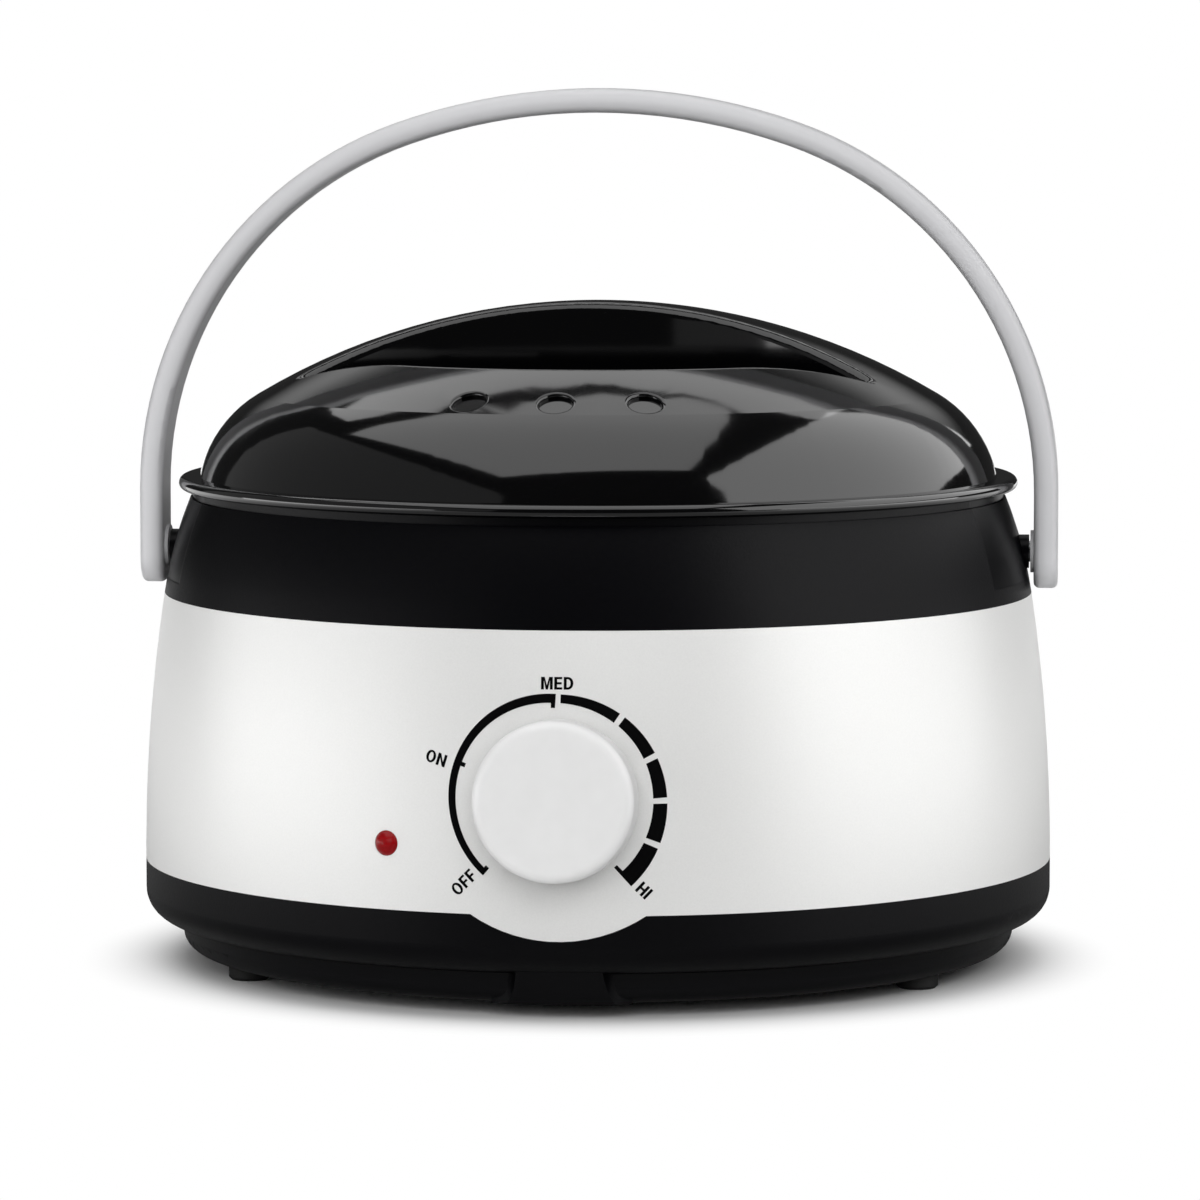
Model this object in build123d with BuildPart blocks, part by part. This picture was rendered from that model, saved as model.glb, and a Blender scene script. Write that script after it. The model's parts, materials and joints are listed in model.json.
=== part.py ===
"""Electric wax warmer with a lift-off lid, a removable pot and a carrying bail.

Millimetres. Z is up from the table, the pot's axis is Z, and the dial faces -Y.
"""

import os
from math import acos, asin, atan2, cos, degrees, hypot, radians, sin, sqrt

from build123d import *

os.makedirs("parts", exist_ok=True)

# Fits between pieces
fit_close = 0.03       # pressed or screwed, radially
fit_run = 0.05         # turning, radially
fit_slip = 0.15        # moulded spigots
fit_lift = 0.3         # between pieces that come apart or pass each other

# Feet
foot_height = 3.0
foot_r = 4.25
foot_inset = 8.0
foot_stem_r = 2.3
foot_barb = 0.5
foot_angles = {"foot_left": 210, "foot_right": 330, "foot_rear": 90}

# Base pan
base_height = 18.8
base_wall = 2.2
base_floor = 2.5
ledge_height = 6.5
skirt_step = 7.8
skirt_draft = 0.5
skirt_edge_r = 3.5
base_corner_r = 6.0
spigot_height = 5.0
chin_width = 17.0
chin_flare = 7.0

# White shell
shell_height = 55.65
shell_lean = 4.22
shell_wall = 2.0
tab_half_width = 17.3
tab_drop = 5.1

# Shoulder ring and its collar
shoulder_height = 19.85
collar_inset = 5.98
collar_step = 0.5
collar_height = 1.6
collar_wall = 2.4
shoulder_wall = 2.5
deck_depth = 7.4
deck_thickness = 2.5

# Posts and screws that tie base and shoulder together
post_angles = (45, 135, 225, 315)
post_gap = 2.2
post_r = 3.4
screw_r = 1.5
screw_head_r = 2.8
screw_head_height = 2.0
screw_length = 22.0
screw_web = 4.0
boss_wall = 1.4
boss_cover = 1.2
boss_height = 21.0

# Pot, well and heater
pot_r = 62.0
pot_depth = 45.5
pot_wall = 1.0
pot_corner_r = 8.0
pot_flange = 7.2
pot_roll_r = 0.9
well_wall = 1.5
well_floor = 2.0
well_flange = 4.2
well_flange_thickness = 1.5
heater_thickness = 2.2
heater_height = 28.0
heater_lift = 6.0
heater_gap = 8.0
clamp_thickness = 0.6
clamp_height = 12.0
clamp_lug = 6.0
clamp_screw_r = 1.5
shield_gap = 1.5
shield_thickness = 0.5
shield_drop = 10.0
shield_hole_r = 14.0

# Thermal fuse under the well
fuse_r = 2.0
fuse_length = 14.0
fuse_offset = 30.0
clip_width = 6.0
clip_thickness = 0.8
clip_ear = 6.0

# Lid
lid_rise = 39.1
crown_r = 139.5
side_run = 12.1
side_inset = 1.4
lid_wall = 2.4
lip_r = 1.3
lip_overhang = 2.95
skirt_depth = 1.8
skirt_gap = 2.8
skirt_wall = 2.0
lid_turn = -2.4
grip_margin = 18.2
grip_reach = 9.4
grip_tip_turn = 70.0
grip_tip_r = 1.4
grip_depth = 19.0
grip_rim_r = 2.0
grip_corner_r = 1.0
ridge_half = 7.6
vent_r = 3.35
vent_depth = 1.1
vent_edge_r = 0.7
vent_inset = 3.8
vent_spacing = 15.2

# Bail and its pivots
bail_pivot_height = 8.55
bail_inner_gap = 0.45
bail_top_rise = 96.2
bail_crown_r = 126.0
bail_shoulder_r = 81.5
bail_thickness = 5.0
bail_top_thickness = 4.6
bail_depth = 12.0
bail_foot_drop = 7.6
bail_edge_r = 1.2
bail_collar_r = 4.4
bail_collar = 0.7
pin_r = 2.2
pin_reach = 3.4
pin_head_r = 2.8
pin_head = 1.2
pivot_boss_r = 3.5

# Dial, knob and thermostat
dial_rise = 22.6
dial_tilt = 6.0
knob_r = 16.0
knob_height = 10.8
knob_gap = 1.2
knob_edge_r = 2.0
knob_wall = 2.6
knob_hub_r = 5.2
shaft_r = 3.0
shaft_flat = 1.0
shaft_grip = 5.0
bushing_r = 4.5
bushing_proud = 2.4
nut_r = 6.4
nut_height = 2.0
spotface_depth = 0.35
seat_r = 9.0
seat_height = 1.2
bracket_width = 22.0
bracket_height = 32.0
bracket_thickness = 1.0
ceramic_width = 16.0
ceramic_height = 9.0
ceramic_depth = 8.0
blade_width = 6.0
blade_length = 24.0
blade_thickness = 0.5
blade_pitch = 2.2

# Indicator
lens_turn = -21.3
lens_rise = 13.15
lens_r = 2.5
lens_dome = 1.4
lens_length = 7.0
lens_wall = 0.5
clip_ring_r = 4.6
clip_ring = 0.8
lamp_length = 11.0

# Mains inlet inside the base
gland_rise = 13.0
gland_bore_r = 2.8
gland_r = 4.0
gland_tip_r = 3.6
gland_reach = 12.7
gland_flange_r = 4.8
gland_flange = 1.6
gland_pad = 0.6
terminal_size = (26.0, 16.0, 12.0)
cord_room = 26.65
terminal_screw_r = 1.6
terminal_pitch = 8.0

# Levels and radii that follow from the sizes above
lower_seam_z = foot_height + base_height
upper_seam_z = lower_seam_z + shell_height
shoulder_top_z = upper_seam_z + shoulder_height
collar_top_z = shoulder_top_z + collar_height
deck_z = collar_top_z - deck_depth
deck_under_z = deck_z - deck_thickness
well_r = pot_r + pot_wall + 2 * fit_lift
well_outer_r = well_r + well_wall
heater_outer_r = well_outer_r + heater_thickness
clamp_outer_r = heater_outer_r + clamp_thickness
shield_r = clamp_outer_r + clamp_lug + shield_gap
shield_outer_r = shield_r + shield_thickness
post_ring_r = shield_outer_r + post_gap + post_r
boss_r = screw_head_r + fit_lift + boss_wall
skirt_r = post_ring_r + boss_r + boss_cover
foot_ring_r = skirt_r - foot_inset
body_r = skirt_r + skirt_step
seam_r = body_r - shell_lean
collar_r = seam_r - collar_inset
collar_inner_r = collar_r - collar_wall
shell_top_lean = 2 * degrees(atan2(shell_lean, shell_height))
base_floor_z = foot_height + base_floor
spigot_r = body_r - shell_wall - fit_slip
base_inner_r = spigot_r - base_wall
boss_top_z = foot_height + boss_height
pot_flange_z = deck_z + well_flange_thickness + fit_lift
pot_floor_z = pot_flange_z + pot_wall - pot_depth
well_floor_z = pot_floor_z - pot_wall - fit_lift
well_under_z = well_floor_z - well_floor
heater_z = well_floor_z + heater_lift
clamp_mid_z = heater_z + heater_height / 2
shield_floor_z = well_under_z - shield_drop
lid_base_z = collar_top_z + fit_lift
lid_top_z = collar_top_z + lid_rise
lip_reach_r = collar_r + lip_overhang
lid_side_r = collar_r - side_inset
crown_edge_r = lid_side_r - side_run
grip_r = crown_edge_r - grip_margin
vent_ring_r = crown_edge_r - vent_inset
lip_z = lid_base_z + lip_r - 0.5 * fit_lift
crown_z = lid_top_z - crown_r
skirt_outer_r = collar_inner_r - skirt_gap
skirt_inner_r = skirt_outer_r - skirt_wall
grip_floor_z = lid_top_z - grip_depth
pivot_z = upper_seam_z + bail_pivot_height
bail_inner_x = seam_r + bail_inner_gap
bail_outer_x = bail_inner_x + bail_thickness
bail_top_z = pivot_z + bail_top_rise
dial_z = lower_seam_z + dial_rise
knob_face = knob_gap + knob_height


def shell_radius(z):
    """Outer radius of the white shell at height z, along its one long arc."""
    arc_r = (shell_height**2 + shell_lean**2) / (2 * shell_lean)
    return body_r - arc_r + sqrt(arc_r**2 - (z - lower_seam_z) ** 2)


def shell_slope(z):
    """Angle in degrees by which the shell's outward normal looks up at height z."""
    arc_r = (shell_height**2 + shell_lean**2) / (2 * shell_lean)
    return degrees(asin((z - lower_seam_z) / arc_r))


def shoulder_radius(z):
    """Outer radius of the shoulder ring at height z, along its arc."""
    start = radians(shell_top_lean)
    run, rise = seam_r - collar_r - collar_step, shoulder_height
    turn = 2 * (atan2(run, rise) - start)
    arc_r = sqrt(run**2 + rise**2) / (2 * sin(turn / 2))
    lean = asin(sin(start) + (z - upper_seam_z) / arc_r)
    return seam_r - arc_r * (cos(start) - cos(lean))


def facing_plane(turn, z, tilt):
    """Plane on the shell, turned from the front towards +X, looking out and up by tilt."""
    azimuth = radians(turn - 90)
    reach = shell_radius(z)
    out = (cos(azimuth) * cos(radians(tilt)), sin(azimuth) * cos(radians(tilt)), sin(radians(tilt)))
    return Plane(
        origin=(reach * cos(azimuth), reach * sin(azimuth), z),
        x_dir=(-sin(azimuth), cos(azimuth), 0),
        z_dir=out,
    )


def axial_plane(plane):
    """Plane through another plane's axis: its X is that plane's X, its Y that plane's normal."""
    return Plane(origin=plane.origin, x_dir=plane.x_dir, z_dir=-plane.y_dir)


def polar(radius, turn):
    """Point at a radius and an angle counted from +X."""
    return (radius * cos(radians(turn)), radius * sin(radians(turn)))


def save(piece, name):
    """Label one finished piece and write its file."""
    piece.part.label = name
    export_step(piece.part, f"parts/{name}.step")


dial_plane = facing_plane(0, dial_z, dial_tilt)
lens_z = lower_seam_z + lens_rise
lens_plane = facing_plane(lens_turn, lens_z, shell_slope(lens_z))

# Outline of the shell's tab, seen from the front
tab_r = (tab_half_width**2 + tab_drop**2) / (2 * tab_drop)
tab_z = lower_seam_z - tab_drop + tab_r
with BuildPart() as tab_cutter:
    with BuildSketch(Plane.XY.offset(lower_seam_z)):
        Circle(2 * body_r)
    extrude(amount=-2 * tab_drop)
    with BuildSketch(Plane.XZ):
        with Locations((0, tab_z)):
            Circle(tab_r)
    extrude(amount=2 * body_r, mode=Mode.SUBTRACT)

# White shell: one long arc, a flat seat for the thermostat inside, the tab below the dial
with BuildPart() as body_shell:
    with BuildSketch(Plane.XZ):
        with BuildLine():
            outer_foot = (body_r, lower_seam_z)
            inner_foot = (body_r - shell_wall, lower_seam_z)
            outer = TangentArc(outer_foot, (seam_r, upper_seam_z), tangent=(0, 1))
            inner = TangentArc(inner_foot, (seam_r - shell_wall, upper_seam_z), tangent=(0, 1))
            Line(outer @ 1, inner @ 1)
            Polyline(
                inner_foot,
                (body_r - shell_wall, lower_seam_z - tab_drop),
                (body_r, lower_seam_z - tab_drop),
                outer_foot,
            )
        make_face()
    revolve(axis=Axis.Z)
    add(tab_cutter.part, mode=Mode.SUBTRACT)
    with BuildSketch(dial_plane.offset(-shell_wall - seat_height)):
        Circle(seat_r)
    extrude(amount=seat_height + shell_wall / 2)
    with BuildSketch(dial_plane.offset(-spotface_depth)):
        Circle(nut_r + fit_lift)
    extrude(amount=shell_wall, mode=Mode.SUBTRACT)
    with BuildSketch(dial_plane):
        Circle(bushing_r + fit_slip)
    extrude(amount=-3 * shell_wall, both=True, mode=Mode.SUBTRACT)
    with BuildSketch(lens_plane):
        Circle(lens_r + fit_close)
    extrude(amount=-2 * shell_wall, both=True, mode=Mode.SUBTRACT)
save(body_shell, "body_shell")

# Base pan: tray with a rounded edge, a drawn-in skirt, the chin, bosses and the cord hole
ledge_z = foot_height + ledge_height
gland_z = foot_height + gland_rise
gland_seat_y = sqrt(base_inner_r**2 - gland_flange_r**2)
chin_turn = degrees(asin(chin_width / 2 / body_r))
flare_turn = degrees(asin((chin_width / 2 + chin_flare) / body_r))

# Chin under the dial: flush with the base at the top, flaring out of the skirt on both sides
with BuildPart() as chin:
    with BuildSketch(Plane.XY.offset(foot_height)):
        with BuildLine():
            root_r = skirt_r - base_wall / 2
            ThreePointArc(polar(body_r, -90 - chin_turn), (0, -body_r), polar(body_r, -90 + chin_turn))
            for side in (-1, 1):
                Spline(
                    polar(body_r, -90 + side * chin_turn),
                    polar(root_r, -90 + side * flare_turn),
                    tangents=[
                        (-sin(radians(side * chin_turn)), cos(radians(side * chin_turn))),
                        (side * cos(radians(flare_turn)), sin(radians(flare_turn))),
                    ],
                )
            Line(polar(root_r, -90 - flare_turn), polar(root_r, -90 + flare_turn))
        make_face()
    extrude(amount=ledge_height + base_corner_r)
    with BuildSketch(Plane.XZ):
        with BuildLine():
            Polyline(
                (base_inner_r - base_corner_r, foot_height),
                (skirt_r, foot_height),
                (body_r, ledge_z + base_corner_r),
                (base_inner_r, ledge_z + base_corner_r),
                (base_inner_r - base_corner_r, foot_height),
            )
        make_face()
    revolve(axis=Axis.Z, mode=Mode.INTERSECT)

with BuildPart() as base_pan:
    with BuildSketch(Plane.XZ):
        with BuildLine():
            start = (0, foot_height)
            corner = (body_r - base_corner_r, ledge_z)
            turn_in = Line(start, (skirt_r - skirt_edge_r, foot_height))
            turn_up = TangentArc(turn_in @ 1, (skirt_r, foot_height + skirt_edge_r), tangent=(1, 0))
            Polyline(turn_up @ 1, (skirt_r + skirt_draft, ledge_z), corner)
            edge = TangentArc(corner, (body_r, ledge_z + base_corner_r), tangent=(1, 0))
            inner_corner_r = base_corner_r - base_wall
            inner_ledge_z = ledge_z + base_wall
            Polyline(
                edge @ 1,
                (body_r, lower_seam_z),
                (spigot_r, lower_seam_z),
                (spigot_r, lower_seam_z + spigot_height),
                (base_inner_r, lower_seam_z + spigot_height),
                (base_inner_r, inner_ledge_z + inner_corner_r),
            )
            inside = TangentArc(
                (base_inner_r, inner_ledge_z + inner_corner_r),
                (base_inner_r - inner_corner_r, inner_ledge_z),
                tangent=(0, -1),
            )
            Polyline(
                inside @ 1,
                (skirt_r - base_wall, inner_ledge_z),
                (skirt_r - base_wall, base_floor_z),
                (0, base_floor_z),
                start,
            )
        make_face()
    revolve(axis=Axis.Z)
    add(chin.part)
    with BuildSketch(Plane.XY.offset(base_floor_z - base_floor / 2)):
        for turn in post_angles:
            with Locations(polar(post_ring_r, turn)):
                Circle(boss_r)
    extrude(amount=boss_top_z - base_floor_z + base_floor / 2)
    with BuildSketch(Plane.XY.offset(foot_height)):
        for turn in post_angles:
            with Locations(polar(post_ring_r, turn)):
                Circle(screw_head_r + fit_lift)
    extrude(amount=boss_height - screw_web, mode=Mode.SUBTRACT)
    with BuildSketch(Plane.XY.offset(foot_height)):
        for turn in post_angles:
            with Locations(polar(post_ring_r, turn)):
                Circle(screw_r + fit_slip)
        for turn in foot_angles.values():
            with Locations(polar(foot_ring_r, turn)):
                Circle(foot_stem_r + fit_close)
    extrude(amount=boss_height, mode=Mode.SUBTRACT)
    with BuildSketch(Plane.XY.offset(lower_seam_z)):
        Circle(2 * body_r)
        Circle(spigot_r, mode=Mode.SUBTRACT)
    notch_ring = extrude(amount=-2 * tab_drop, mode=Mode.PRIVATE)
    with BuildSketch(Plane.XZ):
        with Locations((0, tab_z)):
            Circle(tab_r + fit_slip)
    notch_tab = extrude(amount=2 * body_r, mode=Mode.PRIVATE)
    add(notch_ring & notch_tab, mode=Mode.SUBTRACT)
    with BuildSketch(Plane.XZ.offset(-body_r)):
        with Locations((0, gland_z)):
            Circle(gland_flange_r + gland_pad)
    extrude(amount=body_r - gland_seat_y)
    with BuildSketch(Plane.XZ.offset(-gland_seat_y)):
        with Locations((0, gland_z)):
            Circle(gland_flange_r + fit_slip)
    extrude(amount=2 * gland_flange, mode=Mode.SUBTRACT)
    with BuildSketch(Plane.XZ):
        with Locations((0, gland_z)):
            Circle(gland_r + fit_close)
    extrude(amount=-2 * body_r, mode=Mode.SUBTRACT)
save(base_pan, "base_pan")

# Rubber feet with a barbed stem
for name, turn in foot_angles.items():
    with BuildPart() as foot:
        with BuildSketch(Plane.XY):
            with Locations(polar(foot_ring_r, turn)):
                Circle(foot_r)
        extrude(amount=foot_height)
        chamfer(foot.edges().group_by(Axis.Z)[0], length=foot_height / 5)
        with BuildSketch(Plane.XY.offset(foot_height)):
            with Locations(polar(foot_ring_r, turn)):
                Circle(foot_stem_r)
        extrude(amount=base_floor + fit_close)
        with BuildSketch(Plane.XY.offset(base_floor_z + fit_close)):
            with Locations(polar(foot_ring_r, turn)):
                Circle(foot_stem_r + foot_barb)
        extrude(amount=3 * foot_barb, taper=30)
    save(foot, name)

# Shoulder ring: curved skin, collar, deck round the well, posts and pivot bosses
pivot_face_x = bail_inner_x - bail_collar - fit_lift
with BuildPart() as shoulder_ring:
    with BuildSketch(Plane.XZ):
        with BuildLine():
            foot_point = (seam_r, upper_seam_z)
            rise_start = (-sin(radians(shell_top_lean)), cos(radians(shell_top_lean)))
            skin = TangentArc(foot_point, (collar_r + collar_step, shoulder_top_z), tangent=rise_start)
            lap_r = seam_r - shell_wall - fit_slip
            Polyline(
                skin @ 1,
                (collar_r, shoulder_top_z),
                (collar_r, collar_top_z),
                (collar_inner_r, collar_top_z),
                (collar_inner_r, deck_z),
                (well_outer_r + fit_slip, deck_z),
                (well_outer_r + fit_slip, deck_under_z),
                (shoulder_radius(deck_under_z) - shoulder_wall, deck_under_z),
                (lap_r - shoulder_wall, upper_seam_z),
                (lap_r - shoulder_wall, upper_seam_z - spigot_height),
                (lap_r, upper_seam_z - spigot_height),
                (lap_r, upper_seam_z),
                foot_point,
            )
        make_face()
    revolve(axis=Axis.Z)
    for side in (-1, 1):
        with BuildSketch(Plane.YZ.offset(side * (collar_inner_r - shoulder_wall))):
            with Locations((0, pivot_z)):
                Circle(pivot_boss_r)
        extrude(amount=side * (pivot_face_x - collar_inner_r + shoulder_wall))
    with BuildSketch(Plane.XY.offset(deck_under_z)):
        for turn in post_angles:
            with Locations(polar(post_ring_r, turn)):
                Circle(post_r)
    extrude(amount=boss_top_z - deck_under_z)
    with BuildSketch(Plane.XY.offset(boss_top_z)):
        for turn in post_angles:
            with Locations(polar(post_ring_r, turn)):
                Circle(screw_r + fit_close)
    extrude(amount=screw_length, mode=Mode.SUBTRACT)
    with BuildSketch(Plane.YZ):
        with Locations((0, pivot_z)):
            Circle(pin_r + fit_close)
    extrude(amount=2 * body_r, both=True, mode=Mode.SUBTRACT)
save(shoulder_ring, "shoulder_ring")

# Pivot pins, headed inside the shoulder ring
pin_seat_x = collar_inner_r - shoulder_wall
for name, side in {"pivot_pin_left": -1, "pivot_pin_right": 1}.items():
    with BuildPart() as pivot_pin:
        with BuildSketch(Plane.YZ.offset(side * pin_seat_x)):
            with Locations((0, pivot_z)):
                Circle(pin_r)
        extrude(amount=side * (bail_inner_x + pin_reach - pin_seat_x))
        with BuildSketch(Plane.YZ.offset(side * pin_seat_x)):
            with Locations((0, pivot_z)):
                Circle(pin_head_r)
        extrude(amount=-side * pin_head)
    save(pivot_pin, name)

# Screws from below, through the base into the posts
screw_head_z = boss_top_z - screw_web
with BuildPart() as base_screws:
    with BuildSketch(Plane.XY.offset(screw_head_z)):
        for turn in post_angles:
            with Locations(polar(post_ring_r, turn)):
                Circle(screw_head_r)
    extrude(amount=-screw_head_height)
    with BuildSketch(Plane.XY.offset(screw_head_z)):
        for turn in post_angles:
            with Locations(polar(post_ring_r, turn)):
                Circle(screw_r)
    extrude(amount=screw_length)
save(base_screws, "base_screws")

# Heating well: spun cup whose flange rests on the deck
with BuildPart() as heating_well:
    with BuildSketch(Plane.XZ):
        with BuildLine():
            well_corner_r = pot_corner_r + pot_wall
            outer_corner_r = well_corner_r + well_wall
            floor_line = Line((0, well_floor_z), (well_r - well_corner_r, well_floor_z))
            turn_up = TangentArc(floor_line @ 1, (well_r, well_floor_z + well_corner_r), tangent=(1, 0))
            Polyline(
                turn_up @ 1,
                (well_r, deck_z + well_flange_thickness),
                (well_r + well_flange, deck_z + well_flange_thickness),
                (well_r + well_flange, deck_z),
                (well_outer_r, deck_z),
                (well_outer_r, well_under_z + outer_corner_r),
            )
            TangentArc(
                (well_outer_r, well_under_z + outer_corner_r),
                (well_outer_r - outer_corner_r, well_under_z),
                tangent=(0, -1),
            )
            Polyline((well_outer_r - outer_corner_r, well_under_z), (0, well_under_z), (0, well_floor_z))
        make_face()
    revolve(axis=Axis.Z)
save(heating_well, "heating_well")

# Removable wax pot with a rolled rim
with BuildPart() as inner_pot:
    with BuildSketch(Plane.XZ):
        with BuildLine():
            pot_under_z = pot_floor_z - pot_wall
            pot_outer_r = pot_r + pot_wall
            pot_rim_z = pot_flange_z + pot_wall
            Line((0, pot_floor_z), (pot_r - pot_corner_r, pot_floor_z))
            TangentArc(
                (pot_r - pot_corner_r, pot_floor_z), (pot_r, pot_floor_z + pot_corner_r), tangent=(1, 0)
            )
            Polyline(
                (pot_r, pot_floor_z + pot_corner_r),
                (pot_r, pot_rim_z),
                (pot_r + pot_flange, pot_rim_z),
                (pot_r + pot_flange, pot_flange_z),
                (pot_outer_r, pot_flange_z),
                (pot_outer_r, pot_floor_z + pot_corner_r),
            )
            TangentArc(
                (pot_outer_r, pot_floor_z + pot_corner_r),
                (pot_r - pot_corner_r, pot_under_z),
                tangent=(0, -1),
            )
            Polyline((pot_r - pot_corner_r, pot_under_z), (0, pot_under_z), (0, pot_floor_z))
        make_face()
        with Locations((pot_r + pot_flange, pot_rim_z - pot_roll_r + pot_roll_r / 3)):
            Circle(pot_roll_r)
    revolve(axis=Axis.Z)
save(inner_pot, "inner_pot")

# Band heater round the well, split at the back
with BuildPart() as heater_band:
    with BuildSketch(Plane.XY.offset(heater_z)):
        Circle(heater_outer_r)
        Circle(well_outer_r, mode=Mode.SUBTRACT)
        with Locations((0, well_outer_r)):
            Rectangle(heater_gap, 4 * heater_thickness, mode=Mode.SUBTRACT)
    extrude(amount=heater_height)
save(heater_band, "heater_band")

# Clamp strap over the heater, with two lugs at the split
with BuildPart() as heater_clamp:
    with BuildSketch(Plane.XY.offset(clamp_mid_z - clamp_height / 2)):
        Circle(clamp_outer_r)
        Circle(heater_outer_r, mode=Mode.SUBTRACT)
        with Locations((0, clamp_outer_r)):
            Rectangle(heater_gap, 4 * heater_thickness, mode=Mode.SUBTRACT)
        for side in (-1, 1):
            with Locations((side * (heater_gap + clamp_thickness) / 2, clamp_outer_r - clamp_thickness)):
                Rectangle(clamp_thickness, clamp_lug + clamp_thickness, align=(Align.CENTER, Align.MIN))
    extrude(amount=clamp_height)
    with BuildSketch(Plane.YZ):
        with Locations((clamp_outer_r + clamp_lug / 2, clamp_mid_z)):
            Circle(clamp_screw_r + fit_close)
    extrude(amount=heater_gap, both=True, mode=Mode.SUBTRACT)
save(heater_clamp, "heater_clamp")

# Screw that draws the strap's lugs together
with BuildPart() as clamp_screw:
    lug_face_x = heater_gap / 2 + clamp_thickness
    with BuildSketch(Plane.YZ.offset(-lug_face_x - clamp_screw_r)):
        with Locations((clamp_outer_r + clamp_lug / 2, clamp_mid_z)):
            Circle(clamp_screw_r)
    extrude(amount=2 * lug_face_x + clamp_screw_r)
    with BuildSketch(Plane.YZ.offset(lug_face_x)):
        with Locations((clamp_outer_r + clamp_lug / 2, clamp_mid_z)):
            Circle(1.8 * clamp_screw_r)
    extrude(amount=1.2 * clamp_screw_r)
save(clamp_screw, "clamp_screw")

# Thermal fuse against the underside of the well
with BuildPart() as thermal_fuse:
    with BuildSketch(Plane.YZ.offset(-fuse_length / 2)):
        with Locations((fuse_offset, well_under_z - fuse_r)):
            Circle(fuse_r)
    extrude(amount=fuse_length)
    chamfer(thermal_fuse.edges().filter_by(GeomType.CIRCLE), length=fuse_r / 3)
save(thermal_fuse, "thermal_fuse")

# Sheet clip that holds the fuse to the well
with BuildPart() as fuse_clip:
    with BuildSketch(Plane.YZ.offset(-clip_width / 2)):
        with Locations((fuse_offset, well_under_z - fuse_r)):
            Circle(fuse_r + clip_thickness)
            Rectangle(2 * (fuse_r + clip_thickness), fuse_r, align=(Align.CENTER, Align.MIN))
            Circle(fuse_r, mode=Mode.SUBTRACT)
            Rectangle(2 * fuse_r, fuse_r, align=(Align.CENTER, Align.MIN), mode=Mode.SUBTRACT)
        with Locations((fuse_offset, well_under_z)):
            Rectangle(4 * fuse_r, 2 * fuse_r, align=(Align.CENTER, Align.MIN), mode=Mode.SUBTRACT)
        for side in (-1, 1):
            with Locations((fuse_offset + side * (fuse_r + clip_thickness + clip_ear / 2), well_under_z)):
                Rectangle(clip_ear, clip_thickness, align=(Align.CENTER, Align.MAX))
    extrude(amount=clip_width)
save(fuse_clip, "fuse_clip")

# Heat shield cup, hung under the deck by its flange
with BuildPart() as heat_shield:
    with BuildSketch(Plane.XZ):
        with BuildLine():
            Polyline(
                (shield_hole_r, shield_floor_z),
                (shield_outer_r, shield_floor_z),
                (shield_outer_r, deck_under_z),
                (shield_r, deck_under_z),
                (shield_r, shield_floor_z + shield_thickness),
                (shield_hole_r, shield_floor_z + shield_thickness),
                (shield_hole_r, shield_floor_z),
            )
        make_face()
    revolve(axis=Axis.Z)
save(heat_shield, "heat_shield")

# Lid: dome with two sunk finger pockets, the grip ridge left between them, and the dimples
crown_lean = asin(crown_edge_r / crown_r)
crown_edge = (crown_edge_r, crown_z + crown_r * cos(crown_lean))
inner_crown_r = crown_r - lid_wall
inner_edge = (inner_crown_r * sin(crown_lean), crown_z + inner_crown_r * cos(crown_lean))
crown_fall = (cos(crown_lean), -sin(crown_lean))
grip_tip = polar(grip_r + grip_reach, 90 - grip_tip_turn)
grip_swing = radians(grip_tip_turn) - acos(grip_r / (grip_r + grip_reach))


def crown_point(radius, at_r):
    """Point of a sphere about the crown's centre, at distance at_r from the axis."""
    return (at_r, crown_z + sqrt(radius**2 - at_r**2))


def on_crown(edge):
    """Tell whether an edge lies on the dome."""
    mid = edge @ 0.5
    return abs(hypot(mid.X, mid.Y, mid.Z - crown_z) - crown_r) < fit_close


def pocket_plan(side):
    """Draw a finger pocket seen from above: round outside, straight to its tips, bowed at the ridge."""
    turn_x, turn_y = grip_r * sin(grip_swing), side * grip_r * cos(grip_swing)
    tip_x, tip_y = grip_tip[0], side * grip_tip[1]
    ThreePointArc((-turn_x, turn_y), (0, side * grip_r), (turn_x, turn_y))
    ThreePointArc((-tip_x, tip_y), (0, side * ridge_half), (tip_x, tip_y))
    for end in (-1, 1):
        Line((end * turn_x, turn_y), (end * tip_x, tip_y))


lid_plane = Plane.XY.rotated((0, 0, lid_turn))
with BuildPart() as pocket_walls:
    for side in (-1, 1):
        with BuildSketch(lid_plane.offset(grip_floor_z - lid_wall)) as wall_plan:
            with BuildLine():
                pocket_plan(side)
            make_face()
            fillet(wall_plan.vertices().sort_by(Axis.X)[0], radius=grip_tip_r)
            fillet(wall_plan.vertices().sort_by(Axis.X)[-1], radius=grip_tip_r)
            offset(amount=lid_wall)
        extrude(amount=2 * grip_depth)
    with BuildSketch(Plane.XZ):
        with BuildLine():
            crown_start = (0, crown_z + crown_r)
            ThreePointArc(crown_start, crown_point(crown_r, crown_edge_r / 2), crown_edge)
            Polyline(
                crown_edge,
                (crown_edge_r, grip_floor_z - lid_wall),
                (0, grip_floor_z - lid_wall),
                crown_start,
            )
        make_face()
    revolve(axis=Axis.Z, mode=Mode.INTERSECT)

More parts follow.
